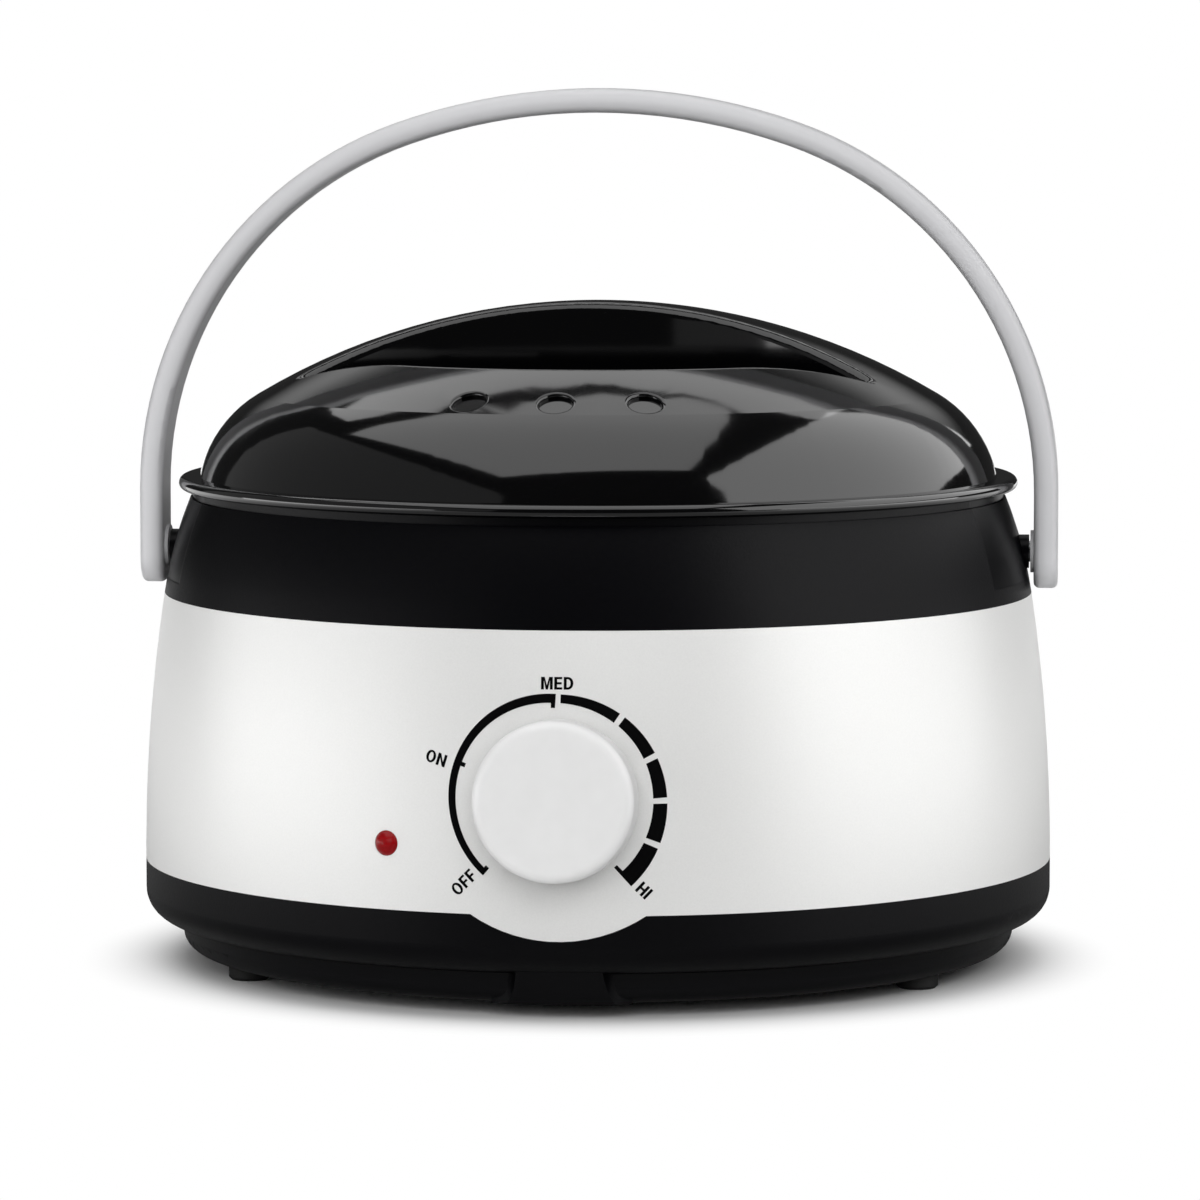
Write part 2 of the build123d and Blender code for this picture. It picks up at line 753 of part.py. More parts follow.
with BuildPart() as lid:
    with BuildSketch(Plane.XZ):
        with BuildLine():
            ThreePointArc(crown_start, crown_point(crown_r, crown_edge_r / 2), crown_edge)
            side_foot = (lid_side_r, lip_z + lip_r)
            TangentArc(crown_edge, side_foot, tangent=crown_fall)
            lip_centre_r = lip_reach_r - lip_r
            Line(side_foot, (lip_centre_r, lip_z + lip_r))
            ThreePointArc(
                (lip_centre_r, lip_z + lip_r), (lip_reach_r, lip_z), (lip_centre_r, lip_z - lip_r)
            )
            Polyline(
                (lip_centre_r, lip_z - lip_r),
                (lip_centre_r - lip_r / 2, lid_base_z),
                (skirt_outer_r, lid_base_z),
                (skirt_outer_r, lid_base_z - skirt_depth),
                (skirt_inner_r, lid_base_z - skirt_depth),
                (skirt_inner_r, lip_z + 2 * lip_r),
            )
            TangentArc(
                inner_edge, (skirt_inner_r, lip_z + 2 * lip_r), tangent=crown_fall
            )
            inner_start = (0, crown_z + inner_crown_r)
            ThreePointArc(inner_edge, crown_point(inner_crown_r, inner_edge[0] / 2), inner_start)
            Line(inner_start, crown_start)
        make_face()
    revolve(axis=Axis.Z)
    add(pocket_walls.part)
    for side in (-1, 1):
        with BuildSketch(lid_plane.offset(grip_floor_z)) as pocket:
            with BuildLine():
                pocket_plan(side)
            make_face()
            fillet(pocket.vertices().sort_by(Axis.X)[0], radius=grip_tip_r)
            fillet(pocket.vertices().sort_by(Axis.X)[-1], radius=grip_tip_r)
        extrude(amount=2 * grip_depth, mode=Mode.SUBTRACT)
        fillet(lid.edges(Select.LAST).filter_by(on_crown), radius=grip_rim_r)
    floor_edges = lid.edges().filter_by_position(Axis.Z, grip_floor_z - fit_close, grip_floor_z + fit_close)
    fillet(floor_edges, radius=grip_corner_r)
    vent_lean = asin(vent_ring_r / crown_r)
    for step in (-1, 0, 1):
        azimuth = radians(lid_turn - 90 + step * vent_spacing)
        vent_z = crown_point(crown_r, vent_ring_r)[1]
        vent_plane = Plane(
            origin=(vent_ring_r * cos(azimuth), vent_ring_r * sin(azimuth), vent_z),
            z_dir=(sin(vent_lean) * cos(azimuth), sin(vent_lean) * sin(azimuth), cos(vent_lean)),
        )
        with BuildSketch(vent_plane.offset(vent_depth)):
            Circle(vent_r)
        extrude(amount=-2 * vent_depth, mode=Mode.SUBTRACT)
        fillet(lid.edges(Select.LAST).filter_by(on_crown), radius=vent_edge_r)
save(lid, "lid")

# Bail: strap bent from three arcs, with a bored foot on each pivot pin
bail_crown_z = bail_top_z - bail_crown_r
shoulder_x = bail_outer_x - bail_shoulder_r
join_gap = bail_crown_r - bail_shoulder_r
shoulder_z = bail_crown_z + sqrt(join_gap**2 - shoulder_x**2)
join_lean = asin(shoulder_x / join_gap)
bail_inner_crown_r = bail_crown_r - bail_top_thickness
bail_inner_shoulder_r = bail_shoulder_r - bail_thickness
inner_join_gap = bail_inner_crown_r - bail_inner_shoulder_r
inner_crown_z = shoulder_z - sqrt(inner_join_gap**2 - shoulder_x**2)
inner_join_lean = asin(shoulder_x / inner_join_gap)


def arch(foot_x, shoulder_r, crown_arc_r, crown_arc_z, lean):
    """Draw one edge of the bail, from the left foot over the top to the right foot."""
    foot_z = pivot_z - bail_foot_drop
    join = (crown_arc_r * sin(lean), crown_arc_z + crown_arc_r * cos(lean))
    mid = (90 - degrees(lean)) / 2
    bend = (shoulder_x + shoulder_r * cos(radians(mid)), shoulder_z + shoulder_r * sin(radians(mid)))
    for side in (-1, 1):
        Line((side * foot_x, foot_z), (side * foot_x, shoulder_z))
        ThreePointArc((side * foot_x, shoulder_z), (side * bend[0], bend[1]), (side * join[0], join[1]))
    ThreePointArc((-join[0], join[1]), (0, crown_arc_z + crown_arc_r), join)


with BuildPart() as bail:
    with BuildSketch(Plane.XZ):
        with BuildLine():
            arch(bail_outer_x, bail_shoulder_r, bail_crown_r, bail_crown_z, join_lean)
            arch(bail_inner_x, bail_inner_shoulder_r, bail_inner_crown_r, inner_crown_z, inner_join_lean)
            for side in (-1, 1):
                Line(
                    (side * bail_outer_x, pivot_z - bail_foot_drop),
                    (side * bail_inner_x, pivot_z - bail_foot_drop),
                )
        make_face()
    extrude(amount=bail_depth / 2, both=True)
    foot_corners = bail.edges().filter_by(Axis.X).group_by(Axis.Z)[0]
    fillet(foot_corners, radius=0.45 * bail_depth)
    fillet(bail.faces().filter_by(Axis.Y).edges(), radius=bail_edge_r)
    for side in (-1, 1):
        with BuildSketch(Plane.YZ.offset(side * bail_inner_x)):
            with Locations((0, pivot_z)):
                Circle(bail_collar_r)
        extrude(amount=-side * bail_collar)
        with BuildSketch(Plane.YZ.offset(side * (bail_inner_x - bail_collar))):
            with Locations((0, pivot_z)):
                Circle(pin_r + fit_run)
        extrude(amount=side * (bail_collar + pin_reach + fit_lift), mode=Mode.SUBTRACT)
save(bail, "bail")

# Control shaft: flatted where the knob grips it
shaft_end = -shell_wall - seat_height - bracket_thickness - 2 * blade_pitch + fit_lift
shaft_tip = knob_face - knob_wall - fit_lift
with BuildPart() as control_shaft:
    with BuildSketch(dial_plane.offset(shaft_end)):
        Circle(shaft_r)
    extrude(amount=shaft_tip - shaft_end)
    with BuildSketch(dial_plane.offset(shaft_tip - shaft_grip)):
        with Locations((0, shaft_r - shaft_flat)):
            Rectangle(2 * shaft_r, shaft_r, align=(Align.CENTER, Align.MIN))
    extrude(amount=shaft_grip, mode=Mode.SUBTRACT)
save(control_shaft, "control_shaft")

# Knob: hollow disc with a rounded edge and a hub on the shaft
with BuildPart() as control_knob:
    with BuildSketch(dial_plane.offset(knob_gap)):
        Circle(knob_r)
    extrude(amount=knob_height, taper=1)
    fillet(control_knob.edges().sort_by(Axis((0, 0, 0), dial_plane.z_dir))[-1], radius=knob_edge_r)
    with BuildSketch(dial_plane.offset(knob_gap)):
        Circle(knob_r - knob_wall)
    extrude(amount=knob_height - knob_wall, mode=Mode.SUBTRACT)
    with BuildSketch(dial_plane.offset(knob_face - knob_wall)):
        Circle(knob_hub_r)
    extrude(amount=-shaft_grip)
    with BuildSketch(dial_plane.offset(knob_face - knob_wall)):
        Circle(shaft_r + fit_close)
        with Locations((0, shaft_r - shaft_flat + fit_close)):
            Rectangle(3 * shaft_r, shaft_r, align=(Align.CENTER, Align.MIN), mode=Mode.SUBTRACT)
    extrude(amount=-shaft_grip, mode=Mode.SUBTRACT)
save(control_knob, "control_knob")

# Thermostat bushing, through bracket and shell
bracket_face = -shell_wall - seat_height
with BuildPart() as thermostat_bushing:
    with BuildSketch(dial_plane.offset(bracket_face)):
        Circle(bushing_r)
    extrude(amount=bushing_proud - bracket_face)
    with BuildSketch(dial_plane.offset(bracket_face - bracket_thickness)):
        Circle(bushing_r - 2 * fit_slip)
    extrude(amount=bracket_thickness)
    with BuildSketch(dial_plane.offset(bracket_face - bracket_thickness)):
        Circle(shaft_r + fit_run)
    extrude(amount=bushing_proud - bracket_face + bracket_thickness, mode=Mode.SUBTRACT)
save(thermostat_bushing, "thermostat_bushing")

# Nut on the bushing, hidden inside the knob
with BuildPart() as thermostat_nut:
    with BuildSketch(dial_plane.offset(-spotface_depth)):
        RegularPolygon(nut_r, 6)
        Circle(bushing_r + fit_close, mode=Mode.SUBTRACT)
    extrude(amount=nut_height)
save(thermostat_nut, "thermostat_nut")

# Thermostat bracket against the seat inside the shell
with BuildPart() as thermostat_bracket:
    with BuildSketch(dial_plane.offset(bracket_face)):
        with Locations((0, bracket_height / 2 - seat_r)):
            RectangleRounded(bracket_width, bracket_height, 3 * bracket_thickness)
        Circle(bushing_r - 2 * fit_slip + fit_close, mode=Mode.SUBTRACT)
    extrude(amount=-bracket_thickness)
save(thermostat_bracket, "thermostat_bracket")

# Contact blades clamped in the ceramic body, the first one under the shaft's end
ceramic_face = bracket_face - bracket_thickness
ceramic_y = seat_r + ceramic_height / 2
with BuildPart() as contact_blades:
    for count in (2, 3):
        with BuildSketch(dial_plane.offset(ceramic_face - count * blade_pitch)):
            with Locations((0, ceramic_y + ceramic_height / 2)):
                Rectangle(blade_width, blade_length, align=(Align.CENTER, Align.MAX))
        extrude(amount=-blade_thickness)
save(contact_blades, "contact_blades")

with BuildPart() as thermostat_body:
    with BuildSketch(dial_plane.offset(ceramic_face)):
        with Locations((0, ceramic_y)):
            Rectangle(ceramic_width, ceramic_height)
    extrude(amount=-ceramic_depth)
    add(contact_blades.part, mode=Mode.SUBTRACT)
save(thermostat_body, "thermostat_body")

# Indicator lens: hollow red cap through the shell
with BuildPart() as indicator_lens:
    with BuildSketch(axial_plane(lens_plane)):
        with BuildLine():
            bore_r = lens_r - lens_wall
            dome_r = (lens_r**2 + lens_dome**2) / (2 * lens_dome)
            half_way = sqrt(dome_r**2 - lens_r**2 / 4) - dome_r + lens_dome
            Polyline(
                (0, lens_dome),
                (0, -lens_wall),
                (bore_r, -lens_wall),
                (bore_r, -lens_length),
                (lens_r, -lens_length),
                (lens_r, 0),
            )
            ThreePointArc((lens_r, 0), (lens_r / 2, half_way), (0, lens_dome))
        make_face()
    revolve(axis=Axis(lens_plane.origin, lens_plane.z_dir))
save(indicator_lens, "indicator_lens")

# Push-on clip behind the shell
with BuildPart() as lens_clip:
    with BuildSketch(lens_plane.offset(-shell_wall - fit_slip)):
        Circle(clip_ring_r)
        Circle(lens_r + fit_close, mode=Mode.SUBTRACT)
    extrude(amount=-clip_ring)
save(lens_clip, "lens_clip")

# Neon lamp inside the lens
lamp_r = lens_r - lens_wall - fit_close
with BuildPart() as indicator_lamp:
    with BuildSketch(lens_plane.offset(-lens_wall - fit_lift)):
        Circle(lamp_r)
    extrude(amount=-lamp_length)
    fillet(indicator_lamp.faces().sort_by(Axis((0, 0, 0), lens_plane.z_dir))[-1].edges(), 0.6 * lamp_r)
save(indicator_lamp, "indicator_lamp")

# Terminal block on the base floor
block_x, block_y, block_z = terminal_size
terminal_setback = base_inner_r - cord_room - block_y / 2
terminal_places = [(step * terminal_pitch, terminal_setback) for step in (-1, 0, 1)]
with BuildPart() as terminal_block:
    with BuildSketch(Plane.XY.offset(base_floor_z)):
        with Locations((0, terminal_setback)):
            Rectangle(block_x, block_y)
    extrude(amount=block_z)
    with BuildSketch(Plane.XZ):
        for place in terminal_places:
            with Locations((place[0], base_floor_z + block_z / 2.5)):
                Circle(terminal_screw_r)
    extrude(amount=-2 * terminal_setback, mode=Mode.SUBTRACT)
    with BuildSketch(Plane.XY.offset(base_floor_z + block_z)):
        for place in terminal_places:
            with Locations(place):
                Circle(terminal_screw_r + fit_close)
    extrude(amount=-block_z / 2, mode=Mode.SUBTRACT)
save(terminal_block, "terminal_block")

with BuildPart() as terminal_screws:
    with BuildSketch(Plane.XY.offset(base_floor_z + block_z)):
        for place in terminal_places:
            with Locations(place):
                Circle(terminal_screw_r)
    extrude(amount=-block_z / 3)
save(terminal_screws, "terminal_screws")

# Cord gland: tapered inlet bush through the back of the base
with BuildPart() as cord_gland:
    with BuildSketch(Plane.YZ):
        with BuildLine():
            Polyline(
                (gland_seat_y - gland_flange, gland_z + gland_bore_r),
                (gland_seat_y - gland_flange, gland_z + gland_flange_r),
                (gland_seat_y, gland_z + gland_flange_r),
                (gland_seat_y, gland_z + gland_r),
                (body_r, gland_z + gland_r),
                (body_r, gland_z + gland_flange_r),
                (body_r + gland_flange, gland_z + gland_flange_r),
                (body_r + gland_flange, gland_z + gland_r),
                (body_r + gland_reach, gland_z + gland_tip_r),
                (body_r + gland_reach, gland_z + gland_bore_r),
                (gland_seat_y - gland_flange, gland_z + gland_bore_r),
            )
        make_face()
    revolve(axis=Axis((0, 0, gland_z), (0, 1, 0)))
save(cord_gland, "cord_gland")
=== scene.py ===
"""Electric wax warmer on a white studio floor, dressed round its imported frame."""

import json
import logging
import math
from abc import ABC, abstractmethod
from dataclasses import dataclass, field
from enum import Enum
from typing import Any, Iterable

import bmesh
import bpy
from mathutils import Matrix, Quaternion, Vector

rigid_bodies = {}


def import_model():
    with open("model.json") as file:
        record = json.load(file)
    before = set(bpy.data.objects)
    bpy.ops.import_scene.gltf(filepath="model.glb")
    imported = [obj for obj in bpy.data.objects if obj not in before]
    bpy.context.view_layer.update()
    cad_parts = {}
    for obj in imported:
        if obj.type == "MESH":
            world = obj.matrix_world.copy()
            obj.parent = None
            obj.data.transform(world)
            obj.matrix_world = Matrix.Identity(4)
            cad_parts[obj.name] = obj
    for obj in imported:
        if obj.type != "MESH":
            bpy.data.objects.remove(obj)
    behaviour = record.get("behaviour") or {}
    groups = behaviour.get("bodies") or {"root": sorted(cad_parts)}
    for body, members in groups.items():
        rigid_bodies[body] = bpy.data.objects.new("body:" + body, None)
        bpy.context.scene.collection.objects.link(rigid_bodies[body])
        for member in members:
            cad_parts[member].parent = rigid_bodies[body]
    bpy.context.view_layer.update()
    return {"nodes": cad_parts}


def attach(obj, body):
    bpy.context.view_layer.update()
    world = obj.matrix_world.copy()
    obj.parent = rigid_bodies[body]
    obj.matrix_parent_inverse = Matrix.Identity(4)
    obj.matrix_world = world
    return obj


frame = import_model()

LOG = logging.getLogger("warmer")
MM = 0.001
WHITE = (1.0, 1.0, 1.0, 1.0)

Colour = tuple[float, float, float]
Shades = tuple[float, float]
Outline = list[tuple[float, float]]
Socket = bpy.types.NodeSocket


class Role(Enum):
    """What a lamp does: a fill only shades, a glint only shows in mirrors, and the key does both."""

    KEY = "key"
    FILL = "fill"
    GLINT = "glint"


class NodeSheet:
    """Adds nodes to one tree, with their sockets fed by name."""

    def __init__(self, tree: bpy.types.NodeTree) -> None:
        """Keep the tree that the nodes go into."""
        self.tree = tree

    def node(self, kind: str, settings: dict[str, Any] | None = None, **sockets: Any) -> bpy.types.Node:
        """Add one node.

        Args:
            kind: Blender's name of the node type.
            settings: Properties of the node itself.
            **sockets: Values or sockets for its inputs, with _ for a space in the name.

        Returns:
            The new node.
        """
        made = self.tree.nodes.new(kind)
        for key, value in (settings or {}).items():
            setattr(made, key, value)
        for key, value in sockets.items():
            self.feed(made.inputs[key.replace("_", " ")], value)
        return made

    def feed(self, target: Socket, value: Any) -> None:
        """Link a socket to an input, or set the input's own value.

        Args:
            target: The input.
            value: Socket to link, or plain value to set.
        """
        if isinstance(value, Socket):
            self.tree.links.new(value, target)
        else:
            target.default_value = value

    def maths(self, operation: str, *values: Any) -> Socket:
        """Add a math node.

        Args:
            operation: The node's operation.
            *values: Up to three numbers or sockets.

        Returns:
            The result's socket.
        """
        made = self.node("ShaderNodeMath", {"operation": operation})
        for target, value in zip(made.inputs, values):
            self.feed(target, value)
        return made.outputs[0]

    def rest_of(self, value: Socket) -> Socket:
        """What a value lacks of 1."""
        return self.maths("SUBTRACT", 1.0, value)

    def length(self, first: Socket, second: Socket) -> Socket:
        """Length of a line from its two square parts."""
        squares = [self.maths("POWER", part, 2.0) for part in (first, second)]
        return self.maths("SQRT", self.maths("ADD", *squares))

    def around(self, pattern: Socket, middle: float, spread: float) -> Socket:
        """A value that a pattern of 0 to 1 spreads evenly about its middle."""
        return self.maths("MULTIPLY_ADD", pattern, spread, middle - spread / 2)

    def mottle(self, pattern: Socket, colour: Colour, shades: Shades) -> Socket:
        """Darken and lighten a colour by a pattern.

        Args:
            pattern: Pattern of 0 to 1.
            colour: The colour.
            shades: Factors on the colour where the pattern is 0 and 1.

        Returns:
            The mottled colour's socket.
        """
        made = self.node("ShaderNodeMix", {"data_type": "RGBA"})
        dark, light = shades
        self.feed(made.inputs[0], pattern)
        self.feed(made.inputs[6], tint(colour, dark))
        self.feed(made.inputs[7], tint(colour, light))
        return made.outputs[2]

    def ramp(self, value: Socket, low: float, high: float) -> Socket:
        """Smooth step of a value.

        Args:
            value: The value.
            low: Where the step is 0.
            high: Where the step is 1.

        Returns:
            The step's socket.
        """
        made = self.node("ShaderNodeMapRange", {"interpolation_type": "SMOOTHSTEP"}, Value=value)
        made.inputs["From Min"].default_value = low
        made.inputs["From Max"].default_value = high
        return made.outputs["Result"]

    def noise(self, size: float, detail: float = 2.0, stretch: Iterable[float] = (1, 1, 1)) -> Socket:
        """Noise on the piece's own coordinates.

        Args:
            size: Size of one lump, in metres.
            detail: Number of finer layers.
            stretch: Factor along each axis on the coordinates.

        Returns:
            The noise value's socket.
        """
        place = self.node("ShaderNodeTexCoord").outputs["Object"]
        turned = self.node("ShaderNodeMapping", Vector=place, Scale=tuple(stretch))
        made = self.node("ShaderNodeTexNoise", Vector=turned.outputs[0], Scale=1 / size, Detail=detail)
        return made.outputs["Fac"]

    def bump(self, height: Socket, distance: float) -> Socket:
        """Bump normal from a height that is 0 to 1 over a distance in metres."""
        return self.node("ShaderNodeBump", Height=height, Distance=distance).outputs["Normal"]

    def axes(self) -> tuple[Socket, Socket, Socket]:
        """The piece's own coordinates.

        Returns:
            Sockets of X, Y and Z.
        """
        place = self.node("ShaderNodeTexCoord").outputs["Object"]
        made = self.node("ShaderNodeSeparateXYZ", Vector=place)
        return made.outputs[0], made.outputs[1], made.outputs[2]


def tint(colour: Colour, factor: float = 1.0) -> tuple[float, float, float, float]:
    """A colour as four numbers, lightened or darkened by a factor."""
    return (*(min(1.0, part * factor) for part in colour), 1.0)


class Finish(ABC):
    """A surface finish that makes one node material."""

    name: str

    @abstractmethod
    def paint(self, sheet: NodeSheet, shader: bpy.types.Node) -> None:
        """Feed the shader.

        Args:
            sheet: The material's nodes.
            shader: The Principled shader to feed.
        """

    def material(self) -> bpy.types.Material:
        """Make the finish's material at the first call.

        Returns:
            The material.
        """
        known = bpy.data.materials.get(self.name)
        if known is not None:
            return known
        made = bpy.data.materials.new(self.name)
        made.use_nodes = True
        made.node_tree.nodes.clear()
        sheet = NodeSheet(made.node_tree)
        shader = sheet.node("ShaderNodeBsdfPrincipled")
        self.paint(sheet, shader)
        sheet.node("ShaderNodeOutputMaterial", Surface=shader.outputs["BSDF"])
        return made


@dataclass(frozen=True)
class GrainedMoulding(Finish):
    """Moulded plastic with a spark-eroded grain, smooth on pads round two side pivots."""

    name: str
    colour: Colour
    roughness: float = 0.5
    spread: float = 0.12
    grain: float = 0.5 * MM
    depth: float = 0.02 * MM
    cloud_grains: float = 40.0
    cloud_shades: Shades = (0.85, 1.15)
    specular: float = 0.5
    glance_power: float = 0.6
    pad_half_turn: float = 0.0
    pad_edge_turn: float = math.radians(0.25)
    pad_foot: float = 0.0
    pad_edge_rise: float = 0.4 * MM
    pad_roughness: float = 0.3

    def paint(self, sheet: NodeSheet, shader: bpy.types.Node) -> None:
        """Feed the grain, and leave it out on the pads.

        Args:
            sheet: The material's nodes.
            shader: The Principled shader to feed.
        """
        grain = sheet.noise(self.grain, detail=3)
        cloud = sheet.noise(self.cloud_grains * self.grain)
        sheet.feed(shader.inputs["Base Color"], sheet.mottle(cloud, self.colour, self.cloud_shades))
        glance = sheet.node("ShaderNodeLayerWeight", Blend=0.5).outputs["Facing"]
        shine = sheet.rest_of(sheet.maths("POWER", glance, self.glance_power))
        sheet.feed(shader.inputs["Specular IOR Level"], sheet.maths("MULTIPLY", shine, self.specular))
        rough, height = sheet.around(grain, self.roughness, self.spread), grain
        if self.pad_half_turn:
            grained = self._off_pads(sheet)
            smooth = sheet.maths("MULTIPLY", sheet.rest_of(grained), self.pad_roughness)
            rough = sheet.maths("ADD", sheet.maths("MULTIPLY", rough, grained), smooth)
            height = sheet.maths("MULTIPLY", sheet.maths("ADD", grain, 1.0), grained)
        sheet.feed(shader.inputs["Roughness"], rough)
        sheet.feed(shader.inputs["Normal"], sheet.bump(height, self.depth))

    def _off_pads(self, sheet: NodeSheet) -> Socket:
        """Mask of the grained face.

        Args:
            sheet: The material's nodes.

        Returns:
            Socket that is 1 on the grained face and 0 on the pads.
        """
        x, y, z = sheet.axes()
        turn = sheet.maths("ARCTAN2", sheet.maths("ABSOLUTE", y), sheet.maths("ABSOLUTE", x))
        edge = self.pad_edge_turn
        beside = sheet.ramp(turn, self.pad_half_turn - edge, self.pad_half_turn + edge)
        below = sheet.rest_of(sheet.ramp(z, self.pad_foot, self.pad_foot + self.pad_edge_rise))
        return sheet.maths("MAXIMUM", beside, below)


@dataclass(frozen=True)
class PolishedMoulding(Finish):
    """Polished plastic with a faint flow of the melt and a little handling haze."""

    name: str
    colour: Colour
    roughness: float = 0.05
    wave: float = 9.0 * MM
    depth: float = 0.01 * MM
    shades: Shades = (0.97, 1.03)
    haze: float = 0.05
    haze_waves: float = 6.0
    translucence: float = 0.0
    bleed: float = 2.0 * MM
    specular: float = 0.5

    def paint(self, sheet: NodeSheet, shader: bpy.types.Node) -> None:
        """Feed a slow wave into the normal and haze into the roughness.

        Args:
            sheet: The material's nodes.
            shader: The Principled shader to feed.
        """
        flow = sheet.noise(self.wave, detail=1)
        sheet.feed(shader.inputs["Base Color"], sheet.mottle(flow, self.colour, self.shades))
        haze = sheet.noise(self.haze_waves * self.wave, detail=4)
        sheet.feed(shader.inputs["Roughness"], sheet.maths("MULTIPLY_ADD", haze, self.haze, self.roughness))
        sheet.feed(shader.inputs["Normal"], sheet.bump(flow, self.depth))
        if self.translucence:
            shader.inputs["Subsurface Weight"].default_value = self.translucence
            shader.inputs["Subsurface Radius"].default_value = (self.bleed, self.bleed, self.bleed)
            shader.inputs["Subsurface Scale"].default_value = 1.0
        shader.inputs["Specular IOR Level"].default_value = self.specular


@dataclass(frozen=True)
class PearlPaint(Finish):
    """Pearl white lacquer: fine mirror flakes in the paint and a trace of orange peel."""

    name: str
    colour: Colour
    roughness: float = 0.42
    spread: float = 0.1
    flake: float = 0.35 * MM
    flake_shades: Shades = (0.965, 1.035)
    peel: float = 1.6 * MM
    peel_depth: float = 0.012 * MM
    pearl: float = 0.3

    def paint(self, sheet: NodeSheet, shader: bpy.types.Node) -> None:
        """Feed flakes into the colour and the peel into the normal.

        Args:
            sheet: The material's nodes.
            shader: The Principled shader to feed.
        """
        flakes = sheet.noise(self.flake, detail=1)
        sheet.feed(shader.inputs["Base Color"], sheet.mottle(flakes, self.colour, self.flake_shades))
        sheet.feed(shader.inputs["Roughness"], sheet.around(flakes, self.roughness, self.spread))
        peel = sheet.noise(self.peel, detail=2)
        sheet.feed(shader.inputs["Normal"], sheet.bump(peel, self.peel_depth))
        shader.inputs["Metallic"].default_value = self.pearl


@dataclass(frozen=True)
class CrownedBow(Finish):
    """Satin plastic of the carrying bow, its broad faces shaded as slightly crowned.

    The bow's outer edge is an arc over the top, then an arc and a straight leg on each side.
    """

    name: str
    colour: Colour
    top_centre: float = 56.2 * MM
    top_radius: float = 126.0 * MM
    side_centre: tuple[float, float] = (14.73 * MM, 98.19 * MM)
    side_radius: float = 81.5 * MM
    width: float = 4.8 * MM
    crowning: float = 0.8
    roughness: float = 0.36
    haze: float = 0.06
    haze_size: float = 18.0 * MM
    specular: float = 0.5

    def paint(self, sheet: NodeSheet, shader: bpy.types.Node) -> None:
        """Feed the crowned normal and a trace of handling haze.

        Args:
            sheet: The material's nodes.
            shader: The Principled shader to feed.
        """
        leaned = sheet.node("ShaderNodeVectorMath", {"operation": "ADD"})
        sheet.feed(leaned.inputs[0], sheet.node("ShaderNodeNewGeometry").outputs["Normal"])
        sheet.feed(leaned.inputs[1], self._lean(sheet))
        normal = sheet.node("ShaderNodeVectorMath", {"operation": "NORMALIZE"})
        sheet.feed(normal.inputs[0], leaned.outputs[0])
        sheet.feed(shader.inputs["Normal"], normal.outputs[0])
        haze = sheet.noise(self.haze_size, detail=4)
        sheet.feed(shader.inputs["Roughness"], sheet.maths("MULTIPLY_ADD", haze, self.haze, self.roughness))
        shader.inputs["Base Color"].default_value = tint(self.colour)
        shader.inputs["Specular IOR Level"].default_value = self.specular

    def _lean(self, sheet: NodeSheet) -> Socket:
        """Lean of the normal: outwards at the bow's outer edge, inwards at its inner edge.

        Args:
            sheet: The material's nodes.

        Returns:
            Socket of the vector to add to the normal.
        """
        x, _, z = sheet.axes()
        side_x, side_z = self.side_centre
        span = sheet.maths("ABSOLUTE", x)
        rise = sheet.maths("SUBTRACT", z, self.top_centre)
        turn = sheet.maths("ARCTAN2", span, rise)
        beside = sheet.maths("GREATER_THAN", turn, math.atan2(side_x, side_z - self.top_centre))
        out_x = sheet.maths("MULTIPLY_ADD", beside, -side_x, span)
        side_rise = sheet.maths("MAXIMUM", sheet.maths("SUBTRACT", z, side_z), 0.0)
        top_part = sheet.maths("MULTIPLY", rise, sheet.rest_of(beside))
        out_z = sheet.maths("ADD", top_part, sheet.maths("MULTIPLY", side_rise, beside))
        reach = sheet.length(out_x, out_z)
        radius = sheet.maths("MULTIPLY_ADD", beside, self.side_radius - self.top_radius, self.top_radius)
        depth = sheet.maths("DIVIDE", sheet.maths("SUBTRACT", radius, reach), self.width)
        crown = sheet.maths("MULTIPLY_ADD", depth, -2 * self.crowning, self.crowning)
        lean = sheet.maths("DIVIDE", crown, reach)
        outward = sheet.node("ShaderNodeCombineXYZ")
        lean_x = sheet.maths("MULTIPLY", out_x, lean)
        sheet.feed(outward.inputs[0], sheet.maths("MULTIPLY", lean_x, sheet.maths("SIGN", x)))
        sheet.feed(outward.inputs[2], sheet.maths("MULTIPLY", out_z, lean))
        turned = sheet.node(
            "ShaderNodeVectorTransform",
            {"vector_type": "VECTOR", "convert_from": "OBJECT", "convert_to": "WORLD"},
            Vector=outward.outputs[0],
        )
        return turned.outputs[0]


@dataclass(frozen=True)
class SpunMetal(Finish):
    """Metal with the fine rings that a spinning or turning tool leaves round an upright axis."""

    name: str
    colour: Colour
    roughness: float = 0.28
    spread: float = 0.16
    pitch: float = 0.35 * MM
    depth: float = 0.006 * MM
    cloud: float = 12.0 * MM
    cloud_shades: Shades = (0.94, 1.04)

    def paint(self, sheet: NodeSheet, shader: bpy.types.Node) -> None:
        """Feed rings by the distance from the axis and the height.

        Args:
            sheet: The material's nodes.
            shader: The Principled shader to feed.
        """
        x, y, z = sheet.axes()
        along = sheet.maths("ADD", sheet.length(x, y), z)
        rings = sheet.node(
            "ShaderNodeTexNoise", {"noise_dimensions": "1D"}, W=along, Scale=1 / self.pitch, Detail=3.0
        ).outputs["Fac"]
        cloud = sheet.noise(self.cloud)
        sheet.feed(shader.inputs["Base Color"], sheet.mottle(cloud, self.colour, self.cloud_shades))
        sheet.feed(shader.inputs["Roughness"], sheet.around(rings, self.roughness, self.spread))
        sheet.feed(shader.inputs["Normal"], sheet.bump(rings, self.depth))
        shader.inputs["Metallic"].default_value = 1.0


